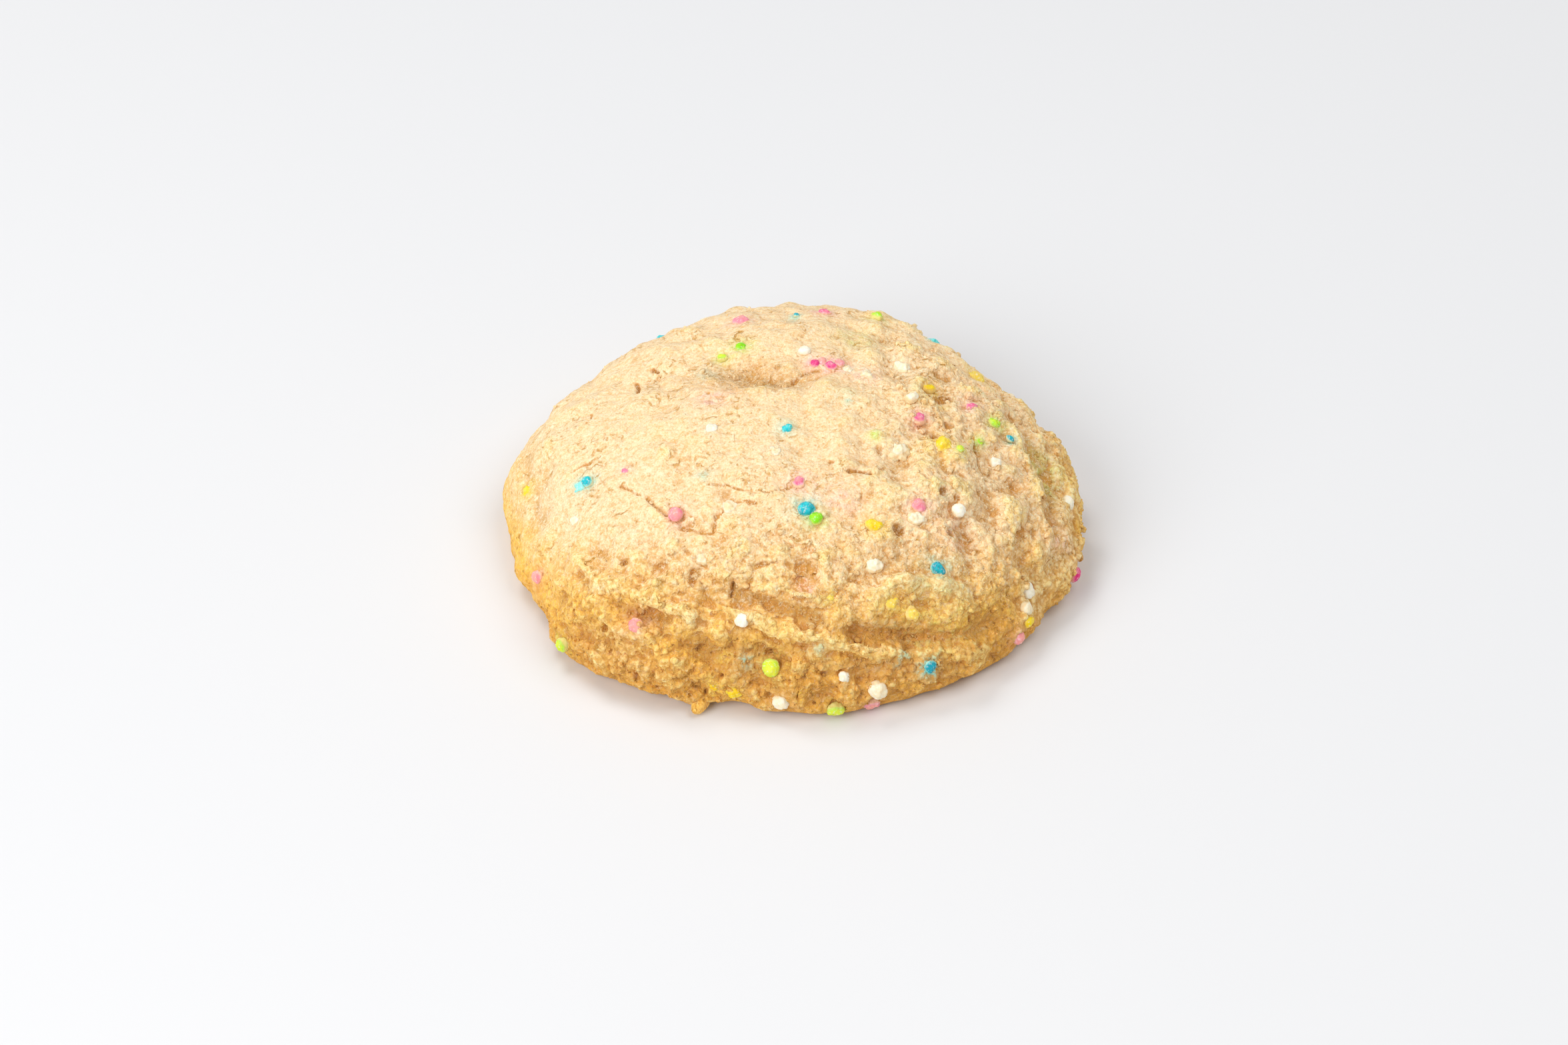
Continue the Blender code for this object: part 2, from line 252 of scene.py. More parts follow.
def fold_share(fold, bearing, distance):
    """One on the line of a roll or a crease, and less beside it and towards its two ends."""
    line, _, width = fold
    bearings, distances = zip(*line)
    turn = bearings[0] + (bearing - bearings[0] + QUARTER_TURN) % 360 - QUARTER_TURN
    begins = smooth_step(bearings[0] - FOLD_OVERRUN, bearings[0] + FOLD_TAPER, turn)
    ends = smooth_step(bearings[-1] - FOLD_TAPER, bearings[-1] + FOLD_OVERRUN, turn)
    away = (distance - np.interp(turn, bearings, distances)) / width
    away *= np.where(away < 0, INNER_STEEPNESS, OUTER_STEEPNESS)
    return begins * (1 - ends) * np.exp(-away * away)


def folds(rows, bearing, distance):
    """Height of all the rolls, or depth of all the creases."""
    return sum(fold[1] * fold_share(fold, bearing, distance) for fold in rows)


def wandering(points, distance):
    """Distances from the middle as the folds see them, so that their lines waver."""
    return distance + swelling(points, *FOLD_WANDER) + swelling(points, *FOLD_RAGGED)


def wrinkling(u, v, distance):
    """Height of the small rolls round the skirt, less the creases between them."""
    bearing, _ = polar(u, v)
    length, width = WRINKLE_SPAN
    stretched = around(bearing, np.full(len(u), RIM_RADIUS / length), distance / width)
    roll = swelling(stretched, 1, 1)
    crease = np.exp(-(roll / WRINKLE_SHARPNESS) ** 2)
    wrinkled = np.maximum(smooth_step(*WRINKLED_FRONT, -v), smooth_step(*WRINKLED_RIGHT, u))
    return wrinkled * (WRINKLE_ROLL * roll - WRINKLE_CREASE * crease)


def rise_relief(rise, u, v):
    """Height that one broad rise or hollow adds."""
    middle_u, middle_v, length, width, turn, height = rise
    cosine = math.cos(math.radians(turn))
    sine = math.sin(math.radians(turn))
    along = (u - middle_u) * cosine + (v - middle_v) * sine
    across = (v - middle_v) * cosine - (u - middle_u) * sine
    return height * np.exp(-(along / length) ** 2 - (across / width) ** 2)


def cobbling(u, v):
    """Share of the lumps and crumbs at each place on the skin."""
    cobbled = np.maximum(smooth_step(*COBBLED_FRONT, -v), smooth_step(*COBBLED_RIGHT, u))
    return SMOOTH_SHARE + (1 - SMOOTH_SHARE) * cobbled


def relief(u, v):
    """How far the skin stands above the smooth dome."""
    bearing, distance = polar(u, v)
    points = smooth_dome(bearing, distance)
    height = SKIN_LIFT + swelling(points, HEAVES[0], HEAVES[1] * SWELLING_GAIN)
    cobbled = cobbling(u, v)
    for size, tall in (LUMPS, CRUMBS):
        height += cobbled * swelling(points, size, tall * SWELLING_GAIN)
    for rise in RISES:
        height += rise_relief(rise, u, v)
    wavering = wandering(points, distance)
    lumpy = 1 + swelling(points, ROLL_LUMP, 1)
    height += lumpy * folds(ROLLS, bearing, wavering)
    broken = np.clip(CREASE_SHARE + swelling(points, *CREASE_BREAK), 0, 1)
    height -= broken * folds(CREASES, bearing, wavering)
    height += wrinkling(u, v, wavering)
    return height * np.minimum(1, points[:, 2] / FOOT_FADE)


def skin_points(u, v, lift=0.0):
    """Points of the skin, or points that lie a little above or below it."""
    bearing, distance = polar(u, v)
    height = relief(u, v) + lift
    return smooth_dome(bearing, distance) + outward(bearing, distance) * height[:, None]


def ring(number, distance, radius, spacing):
    """Places of one ring of points on the skin, each ring begun at another bearing."""
    count = max(6, round(math.tau * radius / spacing))
    turns = (number * GOLDEN_TURN + math.tau * np.arange(count) / count) % math.tau
    turns.sort()
    return distance * np.cos(turns), distance * np.sin(turns), turns


def stitch(inner, outer, inner_first, outer_first):
    """Triangles between two rings of turns, stepping on along whichever ring lags."""
    faces = []
    a = 0
    b = 0
    while a < len(inner) or b < len(outer):
        here_a = inner_first + a % len(inner)
        here_b = outer_first + b % len(outer)
        next_a = inner[a + 1] if a + 1 < len(inner) else inner[(a + 1) % len(inner)] + math.tau
        next_b = outer[b + 1] if b + 1 < len(outer) else outer[(b + 1) % len(outer)] + math.tau
        if b < len(outer) and (a >= len(inner) or next_b <= next_a):
            faces.append((here_a, here_b, outer_first + (b + 1) % len(outer)))
            b += 1
        else:
            faces.append((here_a, here_b, inner_first + (a + 1) % len(inner)))
            a += 1
    return faces


def dough_mesh():
    """Points, their places on the skin, and triangles of the skin and of the underside."""
    rings = round(SKIN_LENGTH / SKIN_SPACING)
    across = [np.zeros(1)]
    back = [np.zeros(1)]
    turns = []
    for number in range(1, rings + 1):
        distance = SKIN_LENGTH * number / rings
        radius = np.interp(distance, ALONG, RADIUS)
        u, v, turn = ring(number, distance, radius, SKIN_SPACING)
        across.append(u)
        back.append(v)
        turns.append(turn)
    u = np.concatenate(across)
    v = np.concatenate(back)
    points = skin_points(u, v)
    faces = [(0, 1 + step, 1 + (step + 1) % len(turns[0])) for step in range(len(turns[0]))]
    first = 1
    for inner, outer in zip(turns, turns[1:]):
        faces += stitch(inner, outer, first, first + len(inner))
        first += len(inner)
    edge_radius = np.hypot(points[first:, 0], points[first:, 1])
    outer = turns[-1]
    inside = round(RIM_RADIUS / UNDERSIDE_SPACING)
    under = []
    total = len(points)
    for number in range(1, inside):
        share = 1 - number / inside
        _, _, turn = ring(number, 1, RIM_RADIUS * share, UNDERSIDE_SPACING)
        radius = np.interp(turn, turns[-1], edge_radius, period=math.tau) * share
        under.append(around(np.degrees(turn), radius, np.zeros(len(turn))))
        faces += [face[::-1] for face in stitch(turn, outer, total, first)]
        first = total
        outer = turn
        total += len(turn)
    faces += [(total, first + (step + 1) % len(outer), first + step) for step in range(len(outer))]
    under.append(np.zeros((1, 3)))
    return np.concatenate([points, *under]), u, v, faces


# Nonpareils of each colour: place on the skin, size, tone from pale to deep, and how much of
# the ball stands above the skin
BEAD_RADIUS = 0.98
BEADS = {
    "white": (
        (1.6, 12.3, 0.85, 0.9, 0.9), (7.3, 8.9, 0.8, 0.4, 0.35), (9.8, 7.9, 0.9, 0.2, 0.25),
        (14.6, 11.3, 1.25, 0.5, 0.5), (15.2, 2.1, 0.8, 0.5, 0.5), (13.5, -6.9, 1.3, 0.35, 0.4),
        (26.7, -4.8, 0.85, 0.8, 0.7), (21.3, -15.4, 0.95, 0.95, 1.0),
        (15.8, -18.0, 1.0, 0.4, 0.5), (39.0, -4.2, 0.9, 0.7, 0.9), (-10.2, -4.5, 0.8, 0.8, 0.5),
        (-2.1, -8.8, 0.95, 0.2, 0.35), (-7.9, -17.3, 1.1, 0.1, 0.5),
        (-29.3, -14.2, 0.8, 0.6, 0.4), (-11.8, -24.3, 0.95, 0.2, 0.4),
        (-7.1, -34.4, 0.9, 0.95, 0.8), (-1.9, -45.6, 1.1, 0.6, 0.9), (10.6, -25.6, 1.0, 0.6, 0.6),
        (34.8, -21.6, 1.05, 0.9, 1.0), (34.7, -24.5, 1.0, 0.35, 0.7),
        (13.0, -42.0, 1.2, 0.35, 0.9), (7.6, -40.8, 0.7, 0.8, 0.6),
    ),
    "pink": (
        (-6.8, 21.2, 1.0, 0.35, 0.9), (4.3, 24.9, 0.9, 0.8, 0.5), (3.0, 9.9, 0.8, 1.0, 0.6),
        (5.0, 9.3, 0.8, 0.95, 0.5), (4.0, 10.1, 0.8, 0.1, 0.5), (6.1, 10.0, 0.8, 0.25, 0.5),
        (16.2, -0.8, 0.95, 0.7, 0.5), (23.8, 4.2, 0.95, 0.7, 0.75), (15.9, -16.3, 0.95, 0.3, 0.9),
        (0.7, -14.0, 0.95, 0.55, 0.4), (-14.6, -18.0, 0.97, 0.25, 1.2),
        (-20.9, -31.6, 1.0, 0.2, 0.9), (-38.6, -17.6, 0.9, 0.1, 0.8),
        (43.7, -13.0, 1.1, 0.95, 1.3), (34.6, -28.6, 0.95, 0.2, 0.9),
        (13.6, -46.1, 1.1, 0.1, 0.9), (-21.3, -9.7, 0.6, 0.6, 0.3),
    ),
    "turquoise": (
        (-0.7, -4.6, 0.75, 0.6, 0.5), (-26.7, -9.0, 0.8, 0.7, 0.5), (-27.8, -9.4, 0.95, 0.0, 0.5),
        (1.7, -18.3, 1.15, 0.75, 1.1), (19.0, -24.6, 0.95, 1.0, 0.8),
        (20.2, -37.4, 0.9, 1.2, 0.7), (28.9, 0.4, 0.5, 0.9, 0.4), (20.3, 24.0, 0.9, 0.3, 0.5),
        (0.6, 23.4, 0.45, 0.9, 0.3),
    ),
    "green": (
        (-6.7, 13.8, 0.95, 1.0, 0.5), (-9.2, 11.9, 0.75, 0.5, 0.3), (11.6, 24.7, 0.85, 0.6, 0.6),
        (2.9, -19.7, 0.9, 0.95, 0.8), (27.0, 2.9, 1.0, 0.55, 0.6), (24.6, -2.0, 0.5, 0.7, 0.3),
        (21.1, -6.1, 0.55, 0.3, 0.4), (-3.3, -40.8, 1.1, 0.1, 1.2), (7.2, -46.6, 1.0, 0.15, 0.9),
        (-34.4, -29.2, 0.95, 0.4, 0.7), (10.9, -4.7, 0.5, 0.6, 0.25),
    ),
    "yellow": (
        (19.2, -5.2, 1.3, 0.45, 0.9), (17.9, 6.7, 0.8, 0.8, 0.4), (26.4, 16.2, 1.2, 0.2, 0.8),
        (-37.3, -3.3, 0.9, 0.5, 0.4), (10.3, -20.1, 1.0, 0.55, 0.6),
        (-9.5, -43.8, 0.95, 0.7, 0.7), (35.2, -25.9, 0.85, 0.6, 0.7),
        (-12.5, -42.4, 0.85, 1.0, 0.4), (13.2, -30.4, 1.0, 0.15, 0.35),
        (16.4, -31.3, 0.9, 0.1, 0.3), (4.7, -30.4, 0.85, 0.1, 0.3),
    ),
}

# Nonpareils round the back: how many, the bearings they lie between and where in its own share
# of the arc each may lie, the distances they lie between and how much further out they begin
# at the two ends of the arc, and what their sizes, their tones and how much of them shows lie
# between
BACK_BEADS = 16
BACK_BEARINGS = (30.0, 150.0)
BACK_STRAY = (0.2, 0.8)
BACK_DISTANCES = (34.5, 46.0)
BACK_SHIFT = 6.0
BACK_SIZES = (0.9, 1.1)
BACK_TONES = (0.2, 1)
BACK_SHOWS = (0.6, 1.1)
DRAW_SEED = 7


def back_places(draw):
    """Places of the nonpareils round the back, one in each equal share of the arc."""
    first, last = BACK_BEARINGS
    nearest, furthest = BACK_DISTANCES
    share = (last - first) / BACK_BEADS
    for number in range(BACK_BEADS):
        bearing = first + share * (number + draw.uniform(*BACK_STRAY))
        off_middle = 2 * (bearing - first) / (last - first) - 1
        distance = draw.uniform(nearest + BACK_SHIFT * off_middle ** 2, furthest)
        turn = math.radians(bearing)
        yield distance * math.cos(turn), distance * math.sin(turn)


def all_beads():
    """Every nonpareil's colour, place, size, tone and how much of it shows."""
    draw = random.Random(DRAW_SEED)
    beads = [(colour, *bead) for colour, places in BEADS.items() for bead in places]
    colours = list(BEADS)
    for number, (u, v) in enumerate(back_places(random.Random(DRAW_SEED))):
        drawn = [draw.uniform(*ends) for ends in (BACK_SIZES, BACK_TONES, BACK_SHOWS)]
        beads.append((colours[number % len(colours)], u, v, *drawn))
    return beads


def srgb(red, green, blue):
    """A colour as seen, out of 255, as linear red, green, blue and full cover."""
    shares = [value / 255 for value in (red, green, blue)]
    return (*(s / 12.92 if s <= 0.04045 else ((s + 0.055) / 1.055) ** 2.4 for s in shares), 1.0)


# The dye that bleeds out of each colour into the dough: colour and strength
DYES = {
    "white": (srgb(253, 240, 215), 0.3),
    "pink": (srgb(254, 186, 186), 0.7),
    "turquoise": (srgb(156, 228, 216), 0.75),
    "green": (srgb(204, 228, 110), 0.7),
    "yellow": (srgb(255, 216, 92), 0.8),
}

# How far it bleeds, in radii of the ball, the share of its strength that the palest ball has,
# and the size and strength of its ragged edge with the limits of that
HALO_REACH = 1.8
PALEST_SHARE = 0.5
DYE_RAGGED = (1.1, 1.4)
DYE_LIMITS = (0.2, 2)

# Dye where a nonpareil melted away: colour, place on the skin, reach and strength
STAINS = (
    ("pink", -10.2, 1.6, 2.2, 0.4),
    ("pink", 6.0, -17.0, 3.0, 0.3),
    ("pink", 21.0, -19.0, 2.6, 0.25),
    ("pink", 2.1, -29.2, 1.5, 0.5),
    ("pink", 9.5, 7.5, 2.2, 0.3),
    ("pink", 37.0, -12.0, 3.0, 0.3),
    ("turquoise", -10.8, -12.7, 1.2, 0.45),
    ("turquoise", 6.7, 1.5, 1.5, 0.35),
    ("turquoise", 3.6, -37.8, 1.6, 0.35),
    ("turquoise", 15.9, -37.0, 1.4, 0.45),
    ("turquoise", -7.0, -39.7, 1.3, 0.4),
    ("turquoise", 0.4, 22.5, 1.0, 0.5),
    ("turquoise", -11.3, 8.0, 1.6, 0.3),
    ("green", 8.7, 17.0, 3.0, 0.25),
    ("green", 34.5, 0.0, 3.0, 0.3),
    ("green", 36.0, -3.0, 2.6, 0.3),
    ("green", 10.6, -5.3, 1.0, 0.45),
    ("green", 24.0, -2.5, 0.9, 0.55),
    ("green", 19.0, -31.0, 6.0, 0.16),
    ("yellow", 16.8, -8.0, 2.2, 0.3),
    ("yellow", -10.3, -39.2, 1.3, 0.6),
    ("yellow", 1.2, -44.0, 1.2, 0.45),
    ("yellow", 19.0, 3.5, 1.3, 0.45),
)

# Where the dough is browner, or paler where the last number is below none: partly its baked
# colour, partly painted shade in hollows, folds and pits and painted highlight on crests and the
# rim; place on the skin, half length, half width, turn in degrees and strength
BROWNING_AND_PAINTED_SHADE = (
    (-6.0, 6.5, 8.5, 4.0, 0, 1.3),
    (-13.1, -26.9, 0.5, 1.0, -10, 3.0),
    (-3.6, 4.8, 2.2, 1.6, 0, 0.6),
    (2.2, 7.8, 2.8, 1.0, 20, 0.7),
    (9.5, -10.2, 2.4, 1.6, 0, 0.6),
    (17.0, -23.6, 7.0, 2.6, 10, 0.9),
    (10.0, -28.2, 2.4, 1.3, 20, 0.8),
    (21.0, -13.0, 9.0, 7.0, -40, 0.15),
    (30.0, -6.0, 6.0, 2.0, 80, 0.8),
    (29.5, -20.0, 9.0, 1.8, 75, 0.7),
    (14.5, -34.0, 9.5, 1.4, 2, 1.7),
    (12.0, -38.8, 8.0, 1.2, 8, 1.2),
    (18.5, -29.4, 5.0, 1.1, 5, 0.9),
    (0.0, -37.8, 4.0, 1.8, 0, 0.9),
    (-10.0, -38.6, 3.0, 2.4, 30, 0.7),
    (-8.5, -35.2, 2.6, 1.0, 0, 0.7),
    (-22.0, -28.8, 4.0, 1.3, -25, 0.8),
    (-16.5, -34.2, 4.0, 1.0, -30, 0.6),
    (-12.0, -20.0, 1.4, 1.2, 0, 0.5),
    (-24.0, -19.5, 3.0, 2.0, 0, 0.3),
    (15.8, 1.5, 2.2, 3.6, 0, -0.9),
    (14.0, -14.6, 5.0, 2.2, 0, -0.8),
    (4.0, -19.5, 2.4, 2.0, 0, -0.6),
    (-4.0, -27.6, 3.4, 1.3, 0, -0.9),
    (17.0, 26.0, 4.0, 2.4, -20, -0.7),
    (17.8, -27.2, 6.0, 1.6, 3, -1.6),
    (12.0, -29.2, 1.9, 1.1, 55, -1.3),
    (14.0, -36.2, 10.0, 0.8, 6, -0.9),
    (4.0, -34.6, 5.5, 1.1, -4, -0.9),
    (-13.0, -33.4, 2.8, 1.0, -40, -1.0),
    (-24.5, -25.2, 4.0, 1.2, -35, -0.8),
    (-24.0, -33.0, 8.0, 4.0, -35, -0.5),
    (22.5, -38.6, 4.0, 1.4, 20, -0.7),
    (36.0, -22.0, 5.0, 3.0, 60, -1.2),
    (-16.0, -15.5, 2.0, 1.4, 0, -0.6),
    (0.5, -3.0, 1.8, 1.8, 0, -0.5),
    (-38.0, -1.0, 3.0, 8.0, 0, 0.4),
    (-25.0, -13.0, 8.0, 6.0, 0, 0.3),
    (-7.0, -41.5, 5.0, 2.5, -10, 1.2),
    (19.0, -33.0, 6.0, 1.6, 3, 1.0),
    (18.5, -38.5, 6.0, 1.6, -10, 0.6),
    (38.0, -12.5, 4.0, 5.0, 0, -1.2),
)

# Cracks where the top set and then spread: half width and depth, and the line on the skin
CRACKS = (
    (0.2, 0.5, ((-22.1, -11.9), (-20.7, -12.6), (-19.3, -13.7))),
    (0.3, 0.6, ((-18.2, -14.5), (-17.1, -16.2), (-15.6, -18.0))),
    (0.16, 0.4, ((-10.3, -13.8), (-8.0, -14.1), (-5.9, -15.1), (-3.3, -16.0), (-0.1, -14.8))),
    (0.35, 0.7, ((7.1, -11.8), (8.5, -11.6), (9.7, -12.0), (11.6, -10.9))),
    (0.3, 0.8, ((-20.7, 10.1), (-20.5, 8.4), (-20.4, 7.0))),
    (0.3, 0.8, ((-18.8, 12.5), (-18.0, 11.2))),
    (0.2, 0.5, ((-28.4, -6.3), (-27.0, -5.6), (-26.2, -5.9))),
    (0.18, 0.5, ((-26.6, 4.4), (-26.4, 3.2), (-27.0, 2.2))),
    (0.4, 0.5, ((0.2, 6.5), (1.3, 7.6), (2.1, 8.1), (3.4, 8.8))),
    (0.3, 0.5, ((23.6, -1.6), (24.0, -3.0), (24.6, -4.4))),
    (0.45, 0.5, ((-13.0, -26.4), (-13.2, -27.3))),
    (0.25, 0.8, ((-8.2, -29.4), (-8.3, -30.6))),
    (0.3, 0.45, ((-6.5, -30.1), (-5.2, -27.6), (-4.0, -26.6), (-1.9, -26.4))),
    (0.3, 0.4, ((-13.7, -19.8), (-11.9, -20.6), (-10.4, -21.1))),
    (0.25, 0.5, ((-10.2, -21.1), (-9.6, -19.1), (-8.5, -17.4), (-7.0, -16.6), (-4.6, -17.4))),
)

# How cracks and pits stray from their lines: over what length, and how far
CRACK_WANDER = (1.3, 0.35)

# Pits where bubbles broke: place on the skin, half width and depth
PITS = (
    (-4.0, 4.7, 0.7, 0.8),
    (-10.7, 3.0, 0.4, 0.4),
    (-21.5, -22.8, 0.4, 0.5),
    (-25.1, -30.5, 0.5, 0.6),
    (-23.2, -37.6, 0.7, 0.7),
    (-13.2, -36.9, 0.5, 0.6),
    (-13.7, -43.0, 0.5, 0.7),
    (-11.1, -41.3, 0.5, 0.7),
    (-3.7, -39.1, 0.5, 0.7),
    (4.7, -40.6, 0.5, 0.6),
    (11.1, -37.1, 0.4, 0.5),
    (4.8, -10.3, 0.4, 0.5),
    (19.0, -13.8, 0.7, 0.7),
    (20.9, -13.7, 0.4, 0.6),
    (13.6, -20.0, 0.9, 0.9),
    (20.5, -19.0, 0.6, 0.7),
    (20.1, 5.5, 1.0, 0.8),
    (18.4, -3.0, 0.6, 0.6),
    (20.3, -0.8, 0.8, 0.6),
    (11.1, -7.4, 0.8, 0.5),
    (35.5, -20.6, 0.5, 0.6),
    (25.0, -29.8, 0.5, 0.6),
)

# The gap that baking leaves round a nonpareil that stands out: its distance and half width as
# shares of the ball's radius, its depth, and how far a ball must stand out to have one
SOCKET_PLACE = 1.0
SOCKET_WIDTH = 0.3
SOCKET_DEPTH = 0.3
SOCKET_SHOWS = (0.7, 1.1)

# Where a nonpareil is sunk, dough has crept up round it instead: how far out, and how high
CREEP_WIDTH = 0.5
CREEP_HEIGHT = 0.25

# Golden crust: the levels at which it starts and is full on the skirt and again at the rim, the
# bearing where it is strongest, how far to the front it starts and is full, and how much the
# skirt, the rim, that bearing and the front add
GOLDEN_LEVELS = (17.0, 6.0)
GOLDEN_RIM = (8.0, 3.0)
GOLDEN_BEARING = 285
GOLDEN_FRONT = (12, 34)
GOLDEN_SHARES = (0.35, 0.35, 0.2, 0.35)

# Where the crumb is coarser than round it, or finer where the last number is below none: place
# on the skin, half length, half width, turn in degrees and share
COARSER = (
    (-6.0, 7.0, 8.0, 5.0, 0, 0.45),
    (0.0, -12.0, 10.0, 6.0, 0, 0.2),
    (24.0, 21.0, 10.0, 7.0, -45, -0.6),
    (-20.0, -35.0, 14.0, 6.0, -30, 0.3),
    (4.0, -38.0, 14.0, 6.0, 5, 0.4),
)


def coarseness(u, v):
    """How coarse the crumb is at each place."""
    return cobbling(u, v) + sum(rise_relief(spot, u, v) for spot in COARSER)


def line_distance(u, v, line):
    """Distance of each place from a line of straight runs."""
    nearest = np.full(len(u), np.inf)
    for (u0, v0), (u1, v1) in zip(line, line[1:]):
        run_u, run_v = u1 - u0, v1 - v0
        share = ((u - u0) * run_u + (v - v0) * run_v) / (run_u ** 2 + run_v ** 2)
        share = np.clip(share, 0, 1)
        nearest = np.minimum(nearest, np.hypot(u - u0 - share * run_u, v - v0 - share * run_v))
    return nearest


def breaks(u, v, points):
    """How deep each place lies in a crack, a pit or the gap round a nonpareil."""
    waver = swelling(points, *CRACK_WANDER)
    other_waver = swelling(points + RIM_RADIUS, *CRACK_WANDER)
    depth = np.zeros(len(u))
    for width, deep, line in CRACKS:
        away = line_distance(u + waver, v + other_waver, line) / width
        depth = np.maximum(depth, deep * np.exp(-away * away))
    for pit_u, pit_v, width, deep in PITS:
        away = np.hypot(u + waver - pit_u, v + other_waver - pit_v) / width
        depth = np.maximum(depth, deep * np.exp(-away ** 4))
    for _, bead_u, bead_v, size, _, shows in all_beads():
        away = np.hypot(u - bead_u, v - bead_v) / (BEAD_RADIUS * size)
        away = away - SOCKET_PLACE + waver / 2
        gap = np.exp(-(away / SOCKET_WIDTH) ** 2)
        creep = np.exp(-(away / CREEP_WIDTH) ** 2)
        proud = smooth_step(*SOCKET_SHOWS, shows)
        depth = np.maximum(depth, SOCKET_DEPTH * proud * gap)
        depth -= CREEP_HEIGHT * (1 - proud) * creep
    return depth


def folding(u, v, points):
    """How far each place is raised by a roll, less how far it is sunk in a crease."""
    bearing, distance = polar(u, v)
    wavering = wandering(points, distance)
    return folds(ROLLS, bearing, wavering) - folds(CREASES, bearing, wavering)


def baking(u, v, points):
    """How golden each place has baked, from none to one."""
    low = smooth_step(*GOLDEN_LEVELS, points[:, 2])
    rim = smooth_step(*GOLDEN_RIM, points[:, 2])
    side = 0.5 + 0.5 * np.cos(np.radians(polar(u, v)[0] - GOLDEN_BEARING))
    front = smooth_step(*GOLDEN_FRONT, -v)
    baked = zip(GOLDEN_SHARES, (low, rim, side * low, front))
    return np.clip(sum(share * part for share, part in baked), 0, 1)


def shading(u, v):
    """How much browner each place is than the dough round it, from baking and as painted shade, or
    paler as painted highlight.
    """
    return sum(rise_relief(shade, u, v) for shade in BROWNING_AND_PAINTED_SHADE)


def dyeing(u, v, points):
    """Colour and strength of the dye at each place."""
    ragged = np.clip(1 + swelling(points, *DYE_RAGGED), *DYE_LIMITS)
    spots = []
    for colour, bead_u, bead_v, size, tone, _ in all_beads():
        strength = DYES[colour][1] * (PALEST_SHARE + (1 - PALEST_SHARE) * tone)
        spots.append((colour, bead_u, bead_v, HALO_REACH * size, strength))
    total = np.zeros((len(u), 3))
    weight = np.full(len(u), 1e-6)
    left = np.ones(len(u))
    for colour, spot_u, spot_v, reach, strength in [*spots, *STAINS]:
        away = np.hypot(u - spot_u, v - spot_v) / reach
        here = np.clip(strength * ragged * np.exp(-away * away), 0, 1)
        total += here[:, None] * np.array(DYES[colour][0][:3])
        weight += here
        left *= 1 - here
    return np.column_stack([total / weight[:, None], 1 - left])


def pick(sockets, key=None):
    """The socket in use at a number or with a name, or the first one."""
    used = [socket for socket in sockets if socket.enabled]
    if isinstance(key, int):
        return used[key]
    return next(socket for socket in used if key in (None, socket.name))


class Wire:
    """The value on a socket, on which sums add Math nodes."""

    def __init__(self, graph, socket):
        self.graph = graph
        self.socket = socket

    def other(self, name):
        """Another output of the node that this one comes from."""
        return Wire(self.graph, pick(self.socket.node.outputs, name))

    def step(self, low, high):
        """Zero at low, one at high, and an even curve between them."""
        ends = {"Value": self, "From Min": low, "From Max": high}
        return self.graph.add("ShaderNodeMapRange", {"interpolation_type": "SMOOTHSTEP"}, ends)

    def __add__(self, other):
        return self.graph.maths("ADD", self, other)

    def __sub__(self, other):
        return self.graph.maths("SUBTRACT", self, other)

    def __rsub__(self, other):
        return self.graph.maths("SUBTRACT", other, self)

    def __mul__(self, other):
        return self.graph.maths("MULTIPLY", self, other)

    def __truediv__(self, other):
        return self.graph.maths("DIVIDE", self, other)

    def __rtruediv__(self, other):
        return self.graph.maths("DIVIDE", other, self)

    __radd__ = __add__
    __rmul__ = __mul__


